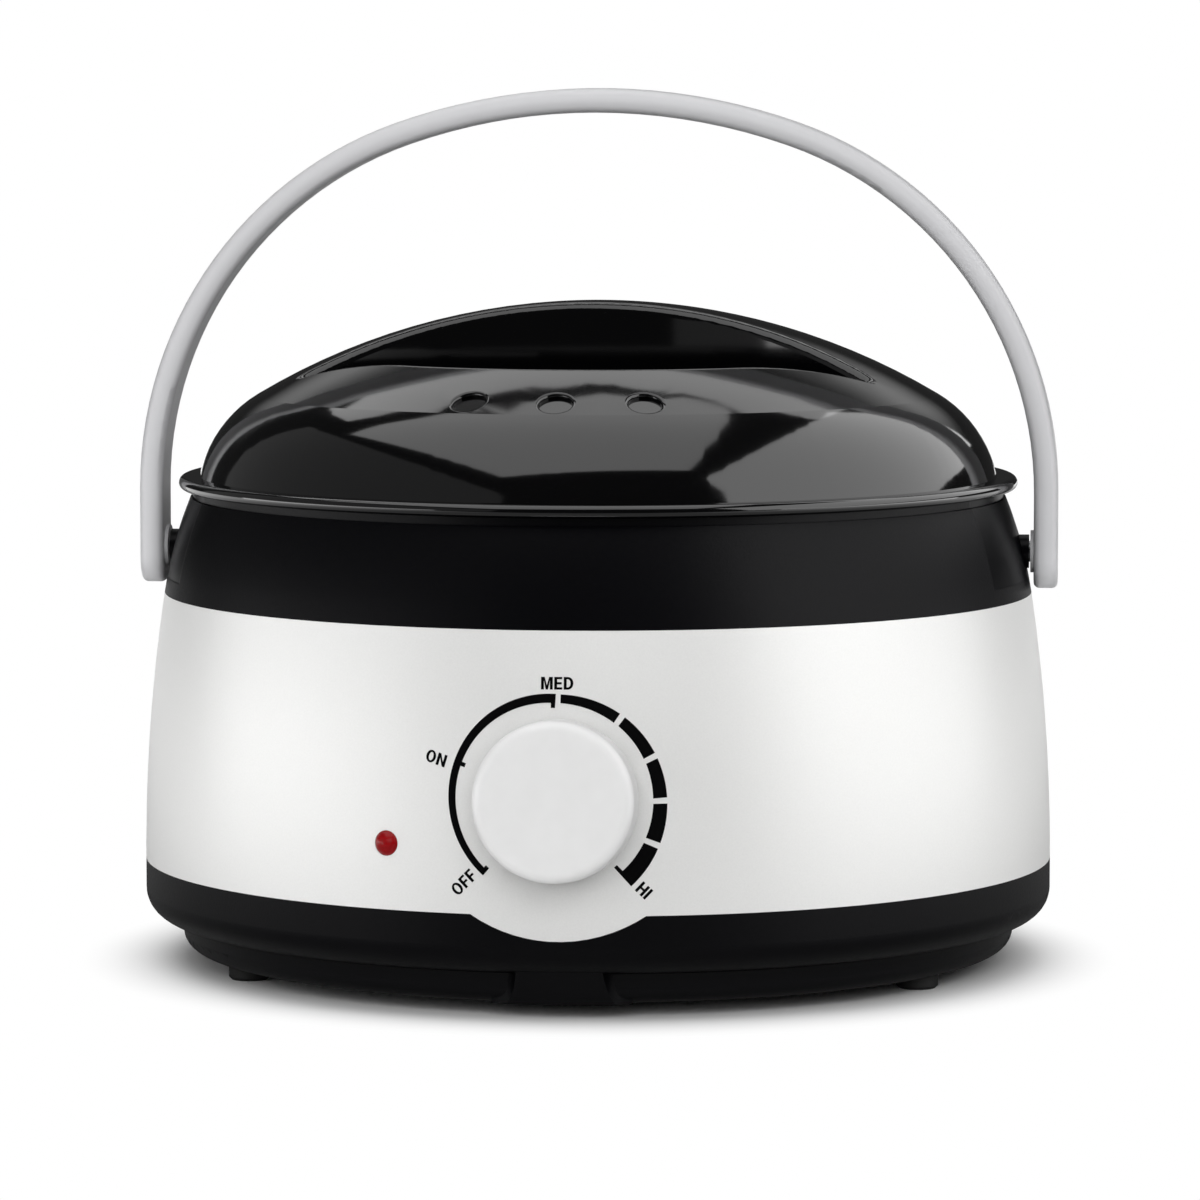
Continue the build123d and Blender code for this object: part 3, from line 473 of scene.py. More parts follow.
@dataclass(frozen=True)
class SheetMetal(Finish):
    """Rolled or plated metal with fine lengthwise marks."""

    name: str
    colour: Colour
    roughness: float = 0.35
    spread: float = 0.18
    mark: float = 0.25 * MM
    mark_stretch: float = 0.06
    depth: float = 0.006 * MM
    grain_axis: int = 0
    cloud: float = 8.0 * MM
    cloud_shades: Shades = (0.92, 1.05)

    def paint(self, sheet: NodeSheet, shader: bpy.types.Node) -> None:
        """Feed long marks into the roughness and normal.

        Args:
            sheet: The material's nodes.
            shader: The Principled shader to feed.
        """
        stretch = [1.0, 1.0, 1.0]
        stretch[self.grain_axis] = self.mark_stretch
        marks = sheet.noise(self.mark, detail=3, stretch=stretch)
        cloud = sheet.noise(self.cloud)
        sheet.feed(shader.inputs["Base Color"], sheet.mottle(cloud, self.colour, self.cloud_shades))
        sheet.feed(shader.inputs["Roughness"], sheet.around(marks, self.roughness, self.spread))
        sheet.feed(shader.inputs["Normal"], sheet.bump(marks, self.depth))
        shader.inputs["Metallic"].default_value = 1.0


@dataclass(frozen=True)
class ClearMoulding(Finish):
    """Clear tinted plastic or glass."""

    name: str
    colour: Colour
    clearness: float = 0.6
    roughness: float = 0.06
    haze: float = 0.05
    cloud: float = 1.5 * MM
    cloud_shades: Shades = (0.85, 1.1)
    refraction: float = 1.49
    specular: float = 0.5

    def paint(self, sheet: NodeSheet, shader: bpy.types.Node) -> None:
        """Feed a cloudy tint and a trace of moulding haze.

        Args:
            sheet: The material's nodes.
            shader: The Principled shader to feed.
        """
        cloud = sheet.noise(self.cloud)
        sheet.feed(shader.inputs["Base Color"], sheet.mottle(cloud, self.colour, self.cloud_shades))
        sheet.feed(shader.inputs["Roughness"], sheet.maths("MULTIPLY_ADD", cloud, self.haze, self.roughness))
        shader.inputs["Transmission Weight"].default_value = self.clearness
        shader.inputs["IOR"].default_value = self.refraction
        shader.inputs["Specular IOR Level"].default_value = self.specular


PEARL = PearlPaint("pearl_lacquer", (0.82, 0.82, 0.81))
BASE_BLACK = GrainedMoulding("grained_base", (0.0008, 0.0008, 0.0014), roughness=0.38, specular=0.2)
SHOULDER_BLACK = GrainedMoulding(
    "grained_shoulder", (0.0008, 0.0008, 0.0014), roughness=0.38, specular=0.2,
    pad_half_turn=math.radians(22), pad_foot=80.7 * MM,
)
LID_BLACK = PolishedMoulding("polished_black", (0.0008, 0.0008, 0.001), specular=0.8)
BAIL_GREY = CrownedBow("satin_grey", (0.64, 0.64, 0.655))
KNOB_WHITE = PolishedMoulding(
    "knob_white_plastic", (0.75, 0.75, 0.75), roughness=0.32, wave=4 * MM, depth=0.004 * MM,
    translucence=0.25, specular=0.9,
)
LENS_RED = ClearMoulding("red_lens", (0.30, 0.001, 0.003), clearness=0.2, roughness=0.2, specular=0.2)
RUBBER = GrainedMoulding("black_rubber", (0.012, 0.012, 0.012), roughness=0.7, grain=0.3 * MM)
POT_METAL = SpunMetal("pot_spun_aluminium", (0.80, 0.80, 0.80))
WELL_METAL = SpunMetal("well_spun_aluminium", (0.62, 0.62, 0.63), roughness=0.36)
SHIELD_METAL = SpunMetal("shield_zinc_plate", (0.55, 0.55, 0.56), roughness=0.4)
STRAP_METAL = SheetMetal("strap_spring_steel", (0.56, 0.56, 0.56))
SCREW_METAL = SheetMetal("screw_zinc_plate", (0.50, 0.50, 0.50), roughness=0.4, grain_axis=2)
PIN_METAL = SheetMetal("pin_turned_steel", (0.30, 0.30, 0.31), roughness=0.3)
FUSE_METAL = SheetMetal("fuse_tinned_case", (0.70, 0.70, 0.68))
BRASS = SheetMetal("bright_brass", (0.72, 0.52, 0.22), roughness=0.28, grain_axis=1)
CERAMIC = GrainedMoulding("white_ceramic", (0.78, 0.76, 0.70), roughness=0.6, grain=0.2 * MM)
NYLON = GrainedMoulding("natural_nylon", (0.72, 0.72, 0.68), roughness=0.45)
SHAFT_PLASTIC = GrainedMoulding("shaft_moulding", (0.58, 0.56, 0.48), roughness=0.5)
MICA = GrainedMoulding("heater_mica_face", (0.34, 0.29, 0.22), roughness=0.55, grain=1.2 * MM)
LAMP_GLASS = ClearMoulding("lamp_clear_glass", (0.92, 0.70, 0.55), clearness=0.9, roughness=0.02)
DIAL_INK = GrainedMoulding(
    "dial_ink", (0.0012, 0.0012, 0.0014), roughness=0.6, grain=0.15 * MM, depth=0.003 * MM, specular=0.06,
)


@dataclass
class ShellSurface:
    """The white shell's outer face, one arc turned about the axis."""

    radius: float = 95.0 * MM
    foot: float = 21.8 * MM
    height: float = 55.65 * MM
    lean: float = 4.22 * MM

    @property
    def arc(self) -> float:
        """Radius of the upright arc."""
        return (self.height**2 + self.lean**2) / (2 * self.lean)

    def reach(self, z: float) -> float:
        """Distance of the face from the axis at a height."""
        return self.radius - self.arc + math.sqrt(self.arc**2 - (z - self.foot) ** 2)

    def wrap(self, across: float, z: float, proud: float) -> Vector:
        """Point of the face.

        Args:
            across: Distance round the shell from its front, towards +X.
            z: Height.
            proud: Distance out of the face.

        Returns:
            The point.
        """
        reach = self.reach(z)
        turn = across / reach
        reach += proud
        return Vector((reach * math.sin(turn), -reach * math.cos(turn), z))


class BandTree:
    """Node tree that lays one tapering arc band on the shell's face."""

    SOCKETS = (
        "Start Angle", "End Angle", "Outer Radius", "Start Width", "End Width",
        "Dial Across", "Dial Height", "Shell Radius", "Arc Radius", "Arc Foot", "Proud",
    )
    MERGE = 0.002 * MM

    def __init__(self, name: str) -> None:
        """Make the tree.

        Args:
            name: Name of the tree.
        """
        self.tree = bpy.data.node_groups.new(name, "GeometryNodeTree")
        face = self.tree.interface
        face.new_socket("Geometry", in_out="OUTPUT", socket_type="NodeSocketGeometry")
        self.ids = {
            label: face.new_socket(label, in_out="INPUT", socket_type="NodeSocketFloat").identifier
            for label in self.SOCKETS
        }
        self.ids["Steps"] = face.new_socket("Steps", in_out="INPUT", socket_type="NodeSocketInt").identifier
        self.ids["Ink"] = face.new_socket("Ink", in_out="INPUT", socket_type="NodeSocketMaterial").identifier
        self._build()

    def _build(self) -> None:
        """Add the nodes: a grid bent to the arc, wrapped on the shell, with a thickness."""
        sheet = NodeSheet(self.tree)
        given = sheet.node("NodeGroupInput").outputs
        grid = sheet.node(
            "GeometryNodeMeshGrid", Size_X=1.0, Size_Y=1.0, Vertices_X=given["Steps"], Vertices_Y=3
        )
        spot = sheet.node("GeometryNodeInputPosition").outputs[0]
        place = sheet.node("ShaderNodeSeparateXYZ", Vector=spot)
        along = sheet.maths("ADD", place.outputs[0], 0.5)
        inward = sheet.maths("ADD", place.outputs[1], 0.5)
        angle = self._between(sheet, along, given["Start Angle"], given["End Angle"])
        width = self._between(sheet, along, given["Start Width"], given["End Width"])
        radius = sheet.maths("SUBTRACT", given["Outer Radius"], sheet.maths("MULTIPLY", inward, width))
        across = sheet.maths("MULTIPLY_ADD", radius, sheet.maths("COSINE", angle), given["Dial Across"])
        height = sheet.maths("MULTIPLY_ADD", radius, sheet.maths("SINE", angle), given["Dial Height"])
        climb = sheet.maths("SUBTRACT", height, given["Arc Foot"])
        chord = sheet.maths(
            "SUBTRACT", sheet.maths("POWER", given["Arc Radius"], 2.0), sheet.maths("POWER", climb, 2.0)
        )
        centre = sheet.maths("SUBTRACT", given["Shell Radius"], given["Arc Radius"])
        reach = sheet.maths("ADD", centre, sheet.maths("SQRT", chord))
        turn = sheet.maths("DIVIDE", across, reach)
        lower = self._placed(sheet, grid.outputs["Mesh"], reach, turn, height)
        raised = self._placed(
            sheet, grid.outputs["Mesh"], sheet.maths("ADD", reach, given["Proud"]), turn, height
        )
        walls = sheet.node("GeometryNodeExtrudeMesh", {"mode": "EDGES"}, Mesh=raised)
        drop = sheet.node("ShaderNodeVectorMath", {"operation": "SCALE"})
        sheet.feed(drop.inputs[0], self._outward(sheet, turn))
        sheet.feed(drop.inputs["Scale"], sheet.maths("MULTIPLY", given["Proud"], -1.0))
        sheet.feed(walls.inputs["Offset"], drop.outputs[0])
        rim = sheet.node("FunctionNodeCompare", {"data_type": "INT", "operation": "EQUAL"})
        faces = sheet.node("GeometryNodeInputMeshEdgeNeighbors")
        sheet.feed(rim.inputs[2], faces.outputs[0])
        rim.inputs[3].default_value = 1
        sheet.feed(walls.inputs["Selection"], rim.outputs[0])
        under = sheet.node("GeometryNodeFlipFaces", Mesh=lower)
        both = sheet.node("GeometryNodeJoinGeometry")
        sheet.feed(both.inputs[0], walls.outputs["Mesh"])
        sheet.feed(both.inputs[0], under.outputs[0])
        closed = sheet.node("GeometryNodeMergeByDistance", Geometry=both.outputs[0], Distance=self.MERGE)
        plain = sheet.node("GeometryNodeRealizeInstances", Geometry=closed.outputs[0])
        inked = sheet.node("GeometryNodeSetMaterial", Geometry=plain.outputs[0], Material=given["Ink"])
        sheet.node("NodeGroupOutput", Geometry=inked.outputs[0])

    @staticmethod
    def _between(sheet: NodeSheet, share: Socket, first: Socket, last: Socket) -> Socket:
        """Value between two sockets at a share of the way."""
        return sheet.maths("MULTIPLY_ADD", share, sheet.maths("SUBTRACT", last, first), first)

    @staticmethod
    def _outward(sheet: NodeSheet, turn: Socket) -> Socket:
        """Level direction out of the shell.

        Args:
            sheet: The tree's nodes.
            turn: Angle from the front.

        Returns:
            The direction's socket.
        """
        made = sheet.node("ShaderNodeCombineXYZ")
        sheet.feed(made.inputs[0], sheet.maths("SINE", turn))
        sheet.feed(made.inputs[1], sheet.maths("MULTIPLY", sheet.maths("COSINE", turn), -1.0))
        return made.outputs[0]

    def _placed(self, sheet: NodeSheet, mesh: Socket, reach: Socket, turn: Socket, height: Socket) -> Socket:
        """Mesh with its points put at a reach, turn and height.

        Args:
            sheet: The tree's nodes.
            mesh: Flat grid.
            reach: Distance from the axis.
            turn: Angle from the front.
            height: Height of each point.

        Returns:
            The placed mesh's socket.
        """
        flat = sheet.node("ShaderNodeVectorMath", {"operation": "SCALE"})
        sheet.feed(flat.inputs[0], self._outward(sheet, turn))
        sheet.feed(flat.inputs["Scale"], reach)
        lift = sheet.node("ShaderNodeCombineXYZ")
        sheet.feed(lift.inputs[2], height)
        spot = sheet.node("ShaderNodeVectorMath", {"operation": "ADD"})
        sheet.feed(spot.inputs[0], flat.outputs[0])
        sheet.feed(spot.inputs[1], lift.outputs[0])
        made = sheet.node("GeometryNodeSetPosition", Geometry=mesh, Position=spot.outputs[0])
        return made.outputs[0]


@dataclass(frozen=True)
class Ring:
    """Circle that bands of the dial lie in: its centre on the shell and its outer radius."""

    across: float
    height: float
    outer: float


@dataclass(frozen=True)
class Band:
    """One arc band of the dial: angles in degrees from the right, widths inward."""

    ring: Ring
    start: float
    end: float
    start_width: float
    end_width: float


@dataclass(frozen=True)
class Lettering:
    """Bold capitals one unit high, as closed outlines."""

    stem: float = 0.23
    bar: float = 0.18
    gap: float = 0.12
    round_steps: int = 14

    def bow(self, middle: float, half_x: float, half_y: float, turn: float) -> Outline:
        """Arc of an ellipse, from its top round the right.

        Args:
            middle: Place of its centre along the line of type.
            half_x: Half its width.
            half_y: Half its height.
            turn: Angle that it covers, in degrees.

        Returns:
            Its points.
        """
        turns = [math.radians(turn * step / self.round_steps) for step in range(self.round_steps + 1)]
        return [(middle + half_x * math.sin(at), 0.5 + half_y * math.cos(at)) for at in turns]

    def letter(self, name: str) -> tuple[float, list[Outline]]:
        """Outlines of one letter; a second outline is its hole.

        Args:
            name: The capital.

        Returns:
            Its width and its outlines.
        """
        s, b = self.stem, self.bar
        mid, low = 0.5 + b / 2, 0.5 - b / 2
        drawn: dict[str, tuple[float, list[Outline]]] = {
            "I": (s, [[(0, 0), (s, 0), (s, 1), (0, 1)]]),
            "H": (0.76, [[
                (0, 0), (s, 0), (s, low), (0.76 - s, low), (0.76 - s, 0), (0.76, 0),
                (0.76, 1), (0.76 - s, 1), (0.76 - s, mid), (s, mid), (s, 1), (0, 1),
            ]]),
            "N": (0.78, [[
                (0, 0), (s, 0), (s, 0.64), (0.56, 0), (0.78, 0),
                (0.78, 1), (0.78 - s, 1), (0.78 - s, 0.36), (0.22, 1), (0, 1),
            ]]),
            "M": (0.94, [[
                (0, 0), (s, 0), (s, 0.72), (0.38, 0), (0.56, 0), (0.94 - s, 0.72), (0.94 - s, 0), (0.94, 0),
                (0.94, 1), (0.65, 1), (0.47, 0.34), (0.29, 1), (0, 1),
            ]]),
            "E": (0.64, [[
                (0, 0), (0.64, 0), (0.64, b), (s, b), (s, low), (0.59, low),
                (0.59, mid), (s, mid), (s, 1 - b), (0.63, 1 - b), (0.63, 1), (0, 1),
            ]]),
            "F": (0.60, [[
                (0, 0), (s, 0), (s, low - 0.03), (0.55, low - 0.03),
                (0.55, mid - 0.03), (s, mid - 0.03), (s, 1 - b), (0.60, 1 - b), (0.60, 1), (0, 1),
            ]]),
            "D": (0.77, [
                [(0, 0), (0, 1), *self.bow(0.33, 0.44, 0.5, 180)],
                [(s, b), (s, 1 - b), *self.bow(0.33, 0.44 - s, 0.5 - b, 180)],
            ]),
            "O": (0.84, [
                self.bow(0.42, 0.42, 0.52, 360)[:-1], self.bow(0.42, 0.42 - s, 0.53 - b, 360)[:-1],
            ]),
        }
        return drawn[name]

    def word(self, text: str) -> list[Outline]:
        """Outlines of a word, set about its own middle.

        Args:
            text: Capitals.

        Returns:
            The outlines, one unit high.
        """
        outlines, pen = [], 0.0
        for name in text:
            width, drawn = self.letter(name)
            outlines += [[(x + pen, y - 0.5) for x, y in outline] for outline in drawn]
            pen += width + self.gap
        half = (pen - self.gap) / 2
        return [[(x - half, y) for x, y in outline] for outline in outlines]


@dataclass(frozen=True)
class DialWord:
    """One word of the dial: its middle on the shell, and how it leans in degrees."""

    text: str
    across: float
    height: float
    lean: float


@dataclass
class DialPrint:
    """The printed scale round the knob."""

    shell: ShellSurface = field(default_factory=ShellSurface)
    lettering: Lettering = field(default_factory=Lettering)
    line_ring: Ring = Ring(-1.6 * MM, 44.95 * MM, 20.3 * MM)
    scale_ring: Ring = Ring(0.0, 43.62 * MM, 21.5 * MM)
    line_ends: tuple[float, float] = (229.5, 86.9)
    line_widths: tuple[float, float] = (1.3 * MM, 1.8 * MM)
    tick_width: float = 0.95 * MM
    ticks: tuple[tuple[float, float], ...] = ((228.2, 1.9 * MM), (160.4, 2.4 * MM), (88.2, 2.75 * MM))
    cap: float = 2.45 * MM
    proud: float = 0.03 * MM
    slice: float = 0.6 * MM
    merge: float = 0.001 * MM
    segment_ends: tuple[float, ...] = (90.4, 54.2, 26.5, 2.15, -22.05, -49.4)
    segment_gap: float = 3.2
    segment_widths: tuple[float, float] = (1.7 * MM, 3.4 * MM)
    stop_turn: float = 2.6
    stop_width: float = 5.0 * MM
    words: tuple[DialWord, ...] = (
        DialWord("MED", -0.25 * MM, 67.28 * MM, 0.0),
        DialWord("ON", -24.5 * MM, 52.17 * MM, -17.0),
        DialWord("OFF", -18.75 * MM, 27.98 * MM, 45.0),
        DialWord("HI", 16.96 * MM, 26.86 * MM, -44.0),
    )
    body: str = "base"
    slot: str = "satin_black"

    def bands(self) -> list[Band]:
        """Work out the thin arc, its ticks, the swelling segments and the stop at their end.

        Returns:
            The bands.
        """
        made = [Band(self.line_ring, *self.line_ends, *self.line_widths)]
        half = math.degrees(self.tick_width / self.line_ring.outer) / 2
        made += [Band(self.line_ring, at + half, at - half, length, length) for at, length in self.ticks]
        first, last = self.segment_ends[0], self.segment_ends[-1]
        narrow, wide = self.segment_widths
        gap = self.segment_gap / 2
        for start, end in zip(self.segment_ends, self.segment_ends[1:]):
            widths = [narrow + (wide - narrow) * (first - at) / (first - last) for at in (start, end)]
            made.append(Band(self.scale_ring, start - gap, end + gap, *widths))
        stop = last + gap
        made.append(Band(self.scale_ring, stop + self.stop_turn, stop, self.stop_width, self.stop_width))
        return made

    def build_bands(self) -> list[bpy.types.Object]:
        """Lay each band with the node tree and make it a plain mesh.

        Returns:
            One object for each band.
        """
        laid = BandTree("dial_band")
        made = []
        for number, band in enumerate(self.bands()):
            values = {
                "Start Angle": math.radians(band.start), "End Angle": math.radians(band.end),
                "Start Width": band.start_width, "End Width": band.end_width,
                "Outer Radius": band.ring.outer,
                "Dial Across": band.ring.across, "Dial Height": band.ring.height,
                "Shell Radius": self.shell.radius, "Arc Radius": self.shell.arc,
                "Arc Foot": self.shell.foot, "Proud": self.proud,
                "Steps": max(3, int(abs(band.end - band.start))), "Ink": DIAL_INK.material(),
            }
            piece = bpy.data.objects.new(f"dial_band_{number + 1}", bpy.data.meshes.new("dial_band"))
            bpy.context.scene.collection.objects.link(piece)
            nodes = piece.modifiers.new("band", "NODES")
            nodes.node_group = laid.tree
            for label, value in values.items():
                nodes[laid.ids[label]] = value
            made.append(plain_mesh(piece))
        return made

    def build_word(self, word: DialWord) -> bpy.types.Object:
        """Fill one word's outlines and wrap it on the shell.

        Args:
            word: The word and its place.

        Returns:
            The word's object.
        """
        curve = bpy.data.curves.new(f"word_{word.text}", "CURVE")
        curve.dimensions, curve.fill_mode, curve.extrude = "2D", "BOTH", self.cap
        for outline in self.lettering.word(word.text):
            spline = curve.splines.new("POLY")
            spline.points.add(len(outline) - 1)
            for point, (x, y) in zip(spline.points, outline):
                point.co = (x * self.cap, y * self.cap, 0.0, 1.0)
            spline.use_cyclic_u = True
        piece = bpy.data.objects.new(f"dial_word_{word.text.lower()}", curve)
        bpy.context.scene.collection.objects.link(piece)
        piece = plain_mesh(piece)
        form = bmesh.new()
        form.from_mesh(piece.data)
        bmesh.ops.remove_doubles(form, verts=form.verts, dist=self.merge)
        turn = Matrix.Rotation(math.radians(word.lean), 4, "Z")
        bmesh.ops.transform(form, matrix=turn, verts=form.verts)
        steps = int(len(word.text) * self.cap / self.slice)
        for step in range(-steps, steps + 1):
            bmesh.ops.bisect_plane(
                form, geom=[*form.verts, *form.edges, *form.faces],
                plane_co=(step * self.slice, 0, 0), plane_no=(1, 0, 0),
            )
        for vert in form.verts:
            front = vert.co.z > 0
            vert.co = self.shell.wrap(
                word.across + vert.co.x, word.height + vert.co.y, self.proud if front else 0.0
            )
        bmesh.ops.recalc_face_normals(form, faces=form.faces)
        form.to_mesh(piece.data)
        form.free()
        return piece

    def build(self) -> None:
        """Make the whole print as one piece on the shell."""
        parts = self.build_bands() + [self.build_word(word) for word in self.words]
        piece = join_pieces(parts, "dial_print", DIAL_INK)
        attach(piece, self.body)
        LOG.info("made %s, %d faces", piece.name, len(piece.data.polygons))


def plain_mesh(piece: bpy.types.Object) -> bpy.types.Object:
    """Replace a piece by the plain mesh that its curve or modifiers give.

    Args:
        piece: Object with a curve, text or live modifiers.

    Returns:
        A mesh object of the same name, with no modifiers.
    """
    graph = bpy.context.evaluated_depsgraph_get()
    mesh = bpy.data.meshes.new_from_object(piece.evaluated_get(graph), depsgraph=graph)
    name = piece.name
    bpy.data.objects.remove(piece)
    mesh.name = name
    made = bpy.data.objects.new(name, mesh)
    bpy.context.scene.collection.objects.link(made)
    return made


def join_pieces(parts: list[bpy.types.Object], name: str, finish: Finish) -> bpy.types.Object:
    """Join closed meshes into one object of one finish.

    Args:
        parts: Mesh objects at the origin.
        name: Name of the joined object.
        finish: Finish of the joined object.

    Returns:
        The joined object.
    """
    form = bmesh.new()
    for part in parts:
        form.from_mesh(part.data)
    for face in form.faces:
        face.material_index = 0
    bmesh.ops.recalc_face_normals(form, faces=form.faces)
    mesh = bpy.data.meshes.new(name)
    form.to_mesh(mesh)
    form.free()
    mesh.materials.append(finish.material())
    for part in parts:
        bpy.data.objects.remove(part)
    made = bpy.data.objects.new(name, mesh)
    bpy.context.scene.collection.objects.link(made)
    return made


@dataclass
class SubAssembly:
    """Pieces that come apart together, with the finish of each CAD node."""

    finishes: dict[str, Finish]

    def dress(self) -> None:
        """Give the nodes their finishes."""
        for name, finish in self.finishes.items():
            frame["nodes"][name].data.materials[0] = finish.material()
            LOG.info("dressed %s in %s", name, finish.name)


@dataclass
class Housing(SubAssembly):
    """Shell, base, shoulder ring, feet and what closes them."""

    finishes: dict[str, Finish] = field(default_factory=lambda: {
        "body_shell": PEARL, "base_pan": BASE_BLACK, "shoulder_ring": SHOULDER_BLACK,
        "foot_left": RUBBER, "foot_right": RUBBER, "foot_rear": RUBBER,
        "base_screws": SCREW_METAL, "cord_gland": RUBBER,
    })


@dataclass
class HeatedPot(SubAssembly):
    """Pot, well, heater and fuse."""

    finishes: dict[str, Finish] = field(default_factory=lambda: {
        "inner_pot": POT_METAL, "heating_well": WELL_METAL, "heater_band": MICA,
        "heater_clamp": STRAP_METAL, "clamp_screw": SCREW_METAL, "thermal_fuse": FUSE_METAL,
        "fuse_clip": STRAP_METAL, "heat_shield": SHIELD_METAL,
    })


@dataclass
class LidAndBail(SubAssembly):
    """The lift-off lid and the carrying bail on its pins."""

    finishes: dict[str, Finish] = field(default_factory=lambda: {
        "lid": LID_BLACK, "bail": BAIL_GREY, "pivot_pin_left": PIN_METAL, "pivot_pin_right": PIN_METAL,
    })


@dataclass
class Controls(SubAssembly):
    """Knob, printed dial, thermostat, indicator and mains terminals."""

    finishes: dict[str, Finish] = field(default_factory=lambda: {
        "control_knob": KNOB_WHITE, "control_shaft": SHAFT_PLASTIC, "thermostat_bushing": BRASS,
        "thermostat_nut": BRASS, "thermostat_bracket": STRAP_METAL, "contact_blades": BRASS,
        "thermostat_body": CERAMIC, "indicator_lens": LENS_RED, "lens_clip": STRAP_METAL,
        "indicator_lamp": LAMP_GLASS, "terminal_block": NYLON, "terminal_screws": SCREW_METAL,
    })
    dial: DialPrint = field(default_factory=DialPrint)

    def dress(self) -> None:
        """Give the nodes their finishes and lay the printed dial."""
        super().dress()
        self.dial.build()


@dataclass(frozen=True)
class SoftBox:
    """One soft lamp: its centre, size and the point it faces in metres, and its roll in degrees."""

    name: str
    role: Role
    centre: tuple[float, float, float]
    size: tuple[float, float]
    facing: tuple[float, float, float]
    brightness: float
    roll: float = 0.0


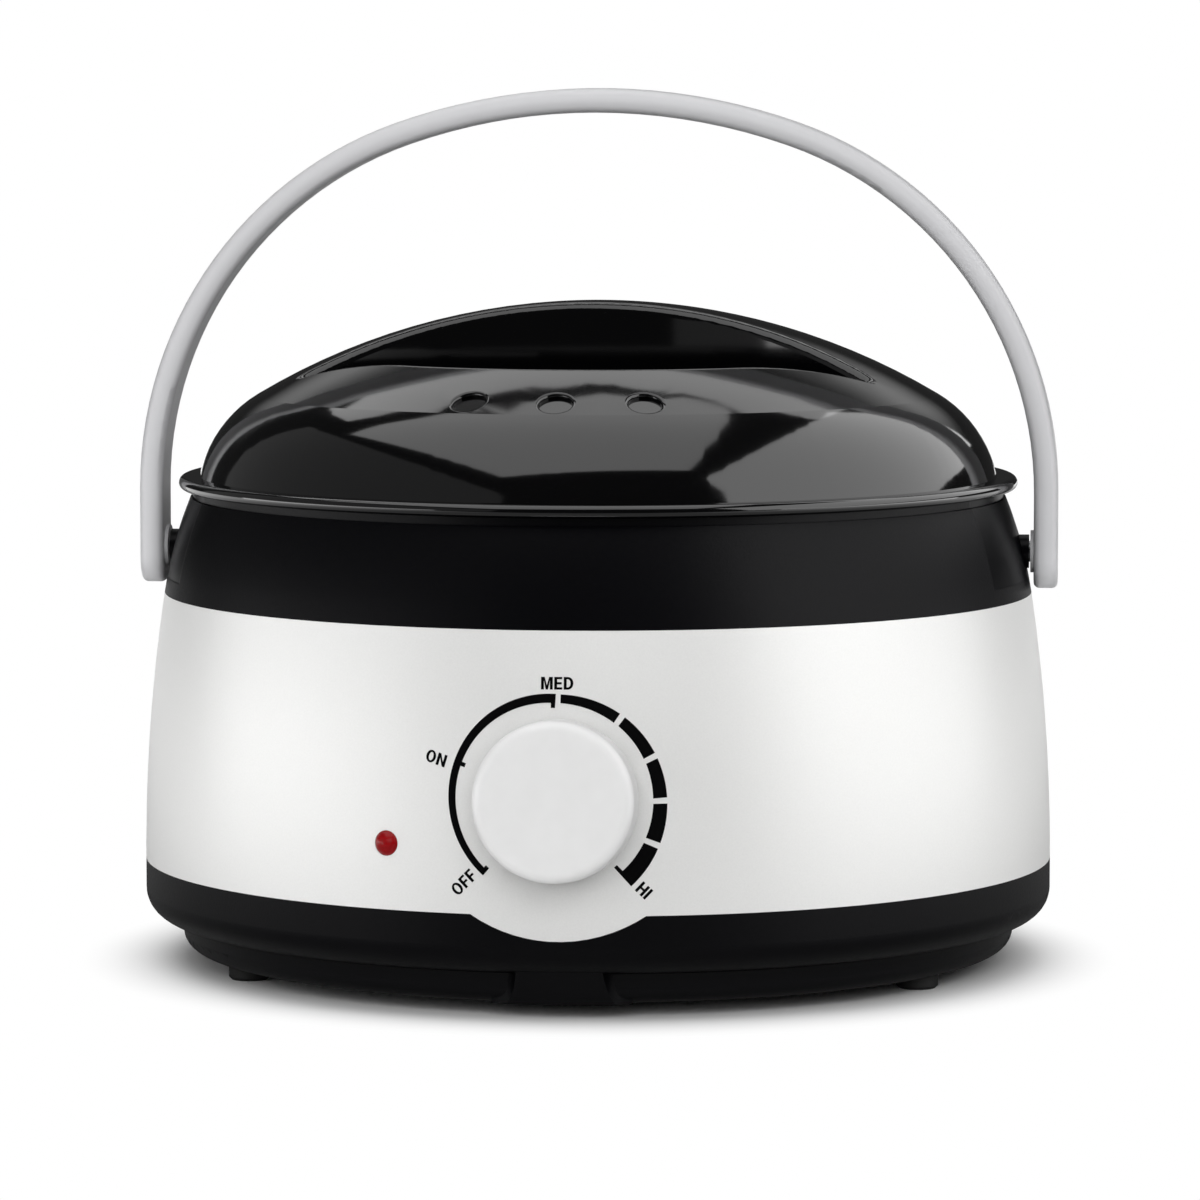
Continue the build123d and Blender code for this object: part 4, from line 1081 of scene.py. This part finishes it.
@dataclass
class Studio:
    """White floor and backdrop, soft lamps and the camera of the photograph."""

    turn: float = math.radians(4.8)
    distance: float = 1.27808
    height: float = 0.19375
    pitch: float = math.radians(5.305)
    sideways: float = 0.000392
    lens: float = 183.33
    sensor: float = 36.0
    clip: tuple[float, float] = (0.05, 50.0)
    floor_side: float = 2.4
    floor_front: float = 0.42
    floor_back: float = 3.5
    floor_grey: float = 0.88
    floor_glint: tuple[float, float] = (0.3, 1.45)
    floor_sides: tuple[float, float] = (0.08, 0.45)
    floor_fade: tuple[float, float] = (0.082, 0.110)
    world_grey: float = 0.03
    backdrop_level: float = 0.6
    backdrop_foot: tuple[float, float] = (0.2, 0.42)
    backdrop_top: tuple[float, float] = (0.42, 0.76)
    backdrop_side: tuple[float, float] = (0.7, 0.92)
    lamps: tuple[SoftBox, ...] = (
        SoftBox("top_box", Role.KEY, (-0.175, -0.21, 1.12), (1.15, 1.44), (-0.175, -0.21, 0.0), 1.35, 14.0),
        SoftBox("rear_box", Role.GLINT, (-0.05, 0.87, 1.12), (1.3, 0.48), (-0.05, 0.87, 0.0), 1.45),
        SoftBox("right_box", Role.GLINT, (0.65, 0.06, 0.68), (1.88, 0.95), (0.0, 0.06, 0.68), 1.9, 8.0),
        SoftBox("left_box", Role.GLINT, (-0.68, -0.35, 0.42), (1.9, 0.78), (0.0, -0.35, 0.42), 0.16),
        SoftBox("left_low_box", Role.GLINT, (-0.72, -0.28, 0.07), (1.0, 0.14), (0.0, -0.28, 0.07), 2.2),
        SoftBox("right_low_box", Role.GLINT, (0.72, -0.20, 0.07), (0.9, 0.14), (0.0, -0.20, 0.07), 2.2),
        SoftBox("front_fill", Role.FILL, (0.0, -1.7, 0.75), (1.4, 1.0), (0.0, 0.0, 0.08), 4.25),
        SoftBox("right_fill", Role.FILL, (1.0, -0.4, 0.8), (0.8, 0.8), (0.0, 0.0, 0.1), 1.7),
        SoftBox("left_fill", Role.FILL, (-1.0, -0.5, 0.3), (0.8, 0.6), (0.0, 0.0, 0.05), 1.9),
        SoftBox("back_fill", Role.FILL, (0.0, 1.7, 0.3), (1.4, 0.6), (0.0, 0.0, 0.08), 3.2),
    )

    def about(self, spot: Iterable[float]) -> Vector:
        """A point given square to the camera, turned into the object's frame."""
        return Matrix.Rotation(self.turn, 4, "Z") @ Vector(spot)

    def build_camera(self) -> None:
        """Place the camera as the photograph's was."""
        data = bpy.data.cameras.new("photo_camera")
        data.lens, data.sensor_width = self.lens, self.sensor
        data.clip_start, data.clip_end = self.clip
        camera = bpy.data.objects.new("photo_camera", data)
        camera.location = self.about((self.sideways, -self.distance, self.height))
        camera.rotation_euler = (math.pi / 2 - self.pitch, 0.0, self.turn)
        bpy.context.scene.collection.objects.link(camera)
        bpy.context.scene.camera = camera

    def build_lamps(self) -> None:
        """Hang the soft boxes."""
        for box in self.lamps:
            data = bpy.data.lights.new(box.name, "AREA")
            data.shape = "RECTANGLE"
            data.size, data.size_y = box.size
            data.energy = box.brightness * math.pi * box.size[0] * box.size[1]
            lamp = bpy.data.objects.new(box.name, data)
            lamp.location = self.about(box.centre)
            aim = self.about(box.facing) - lamp.location
            roll = Quaternion((0.0, 0.0, 1.0), math.radians(box.roll))
            lamp.rotation_euler = (aim.to_track_quat("-Z", "Y") @ roll).to_euler()
            lamp.visible_camera = False
            lamp.visible_diffuse = box.role is not Role.GLINT
            lamp.visible_glossy = box.role is not Role.FILL
            bpy.context.scene.collection.objects.link(lamp)

    @staticmethod
    def mirrored(sheet: NodeSheet) -> Socket:
        """1 for rays that a surface mirrors or refracts, else 0."""
        rays = sheet.node("ShaderNodeLightPath").outputs
        return sheet.maths("MAXIMUM", rays["Is Glossy Ray"], rays["Is Transmission Ray"])

    @staticmethod
    def direct(sheet: NodeSheet) -> Socket:
        """1 for rays from the camera, else 0."""
        return sheet.node("ShaderNodeLightPath").outputs["Is Camera Ray"]

    def build_world(self) -> None:
        """White where the camera sees it, a lit strip behind in mirrors, else dim grey light."""
        world = bpy.data.worlds.new("studio_world")
        bpy.context.scene.world = world
        world.use_nodes = True
        world.node_tree.nodes.clear()
        sheet = NodeSheet(world.node_tree)
        way = sheet.node("ShaderNodeTexCoord").outputs["Generated"]
        axes = sheet.node("ShaderNodeSeparateXYZ", Vector=way).outputs
        low = sheet.rest_of(sheet.ramp(axes[2], *self.backdrop_top))
        strip = sheet.maths("MULTIPLY", low, sheet.ramp(axes[2], *self.backdrop_foot))
        behind = sheet.maths("MULTIPLY", strip, sheet.ramp(axes[1], *self.backdrop_side))
        glint = sheet.maths("MULTIPLY", self.mirrored(sheet), self.backdrop_level)
        shown = sheet.maths("MAXIMUM", self.direct(sheet), sheet.maths("MULTIPLY", behind, glint))
        level = sheet.maths("MULTIPLY_ADD", shown, 1.0 - self.world_grey, self.world_grey)
        light = sheet.node("ShaderNodeBackground", Color=WHITE, Strength=level)
        sheet.node("ShaderNodeOutputWorld", Surface=light.outputs[0])

    def build_floor(self) -> None:
        """Lay the white floor, which fades to plain white away from the object."""
        side, near, far = self.floor_side, -self.floor_front, self.floor_back
        corners = ((-side, near, 0), (side, near, 0), (side, far, 0), (-side, far, 0))
        mesh = bpy.data.meshes.new("floor")
        mesh.from_pydata([self.about(corner) for corner in corners], [], [(0, 1, 2, 3)])
        floor = bpy.data.objects.new("floor", mesh)
        bpy.context.scene.collection.objects.link(floor)
        mesh.materials.append(self.floor_material())

    def floor_material(self) -> bpy.types.Material:
        """White sheet that keeps the shadow and glows towards the camera. In mirrors it glows as a light of
        its own, dim in front and brighter than white at the sides.

        Returns:
            The floor's material.
        """
        made = bpy.data.materials.new("white_sheet")
        made.use_nodes = True
        made.node_tree.nodes.clear()
        sheet = NodeSheet(made.node_tree)
        x, y, _ = sheet.axes()
        far = sheet.ramp(sheet.length(x, y), *self.floor_fade)
        direct, mirrored = self.direct(sheet), self.mirrored(sheet)
        seen = sheet.maths("MAXIMUM", direct, mirrored)
        paper = sheet.node("ShaderNodeBsdfDiffuse", Color=tint(WHITE[:3], self.floor_grey))
        # Painted reflection light: in mirrored rays the floor glows as a lamp, dim in front and brighter
        # than white at the sides, for the reflections in the shell and base.
        middle, beside = self.floor_glint
        sides = sheet.ramp(sheet.maths("ABSOLUTE", x), *self.floor_sides)
        glint = sheet.maths("MULTIPLY_ADD", sides, beside - middle, middle)
        shine = sheet.maths("MAXIMUM", direct, sheet.maths("MULTIPLY", glint, mirrored))
        glow = sheet.node("ShaderNodeEmission", Color=WHITE, Strength=shine)
        mixed = sheet.node("ShaderNodeMixShader")
        sheet.feed(mixed.inputs[0], sheet.maths("MULTIPLY", seen, far))
        sheet.feed(mixed.inputs[1], paper.outputs[0])
        sheet.feed(mixed.inputs[2], glow.outputs[0])
        sheet.node("ShaderNodeOutputMaterial", Surface=mixed.outputs[0])
        return made

    def build(self) -> None:
        """Set up the whole studio."""
        self.build_world()
        self.build_floor()
        self.build_lamps()
        self.build_camera()
        bpy.context.scene.view_settings.view_transform = "Standard"


def main() -> None:
    """Dress the sub-assemblies in order and set up the studio."""
    logging.basicConfig(level=logging.INFO, format="%(name)s: %(message)s")
    for assembly in (Housing(), HeatedPot(), LidAndBail(), Controls()):
        assembly.dress()
    Studio().build()


if __name__ == "__main__":
    main()
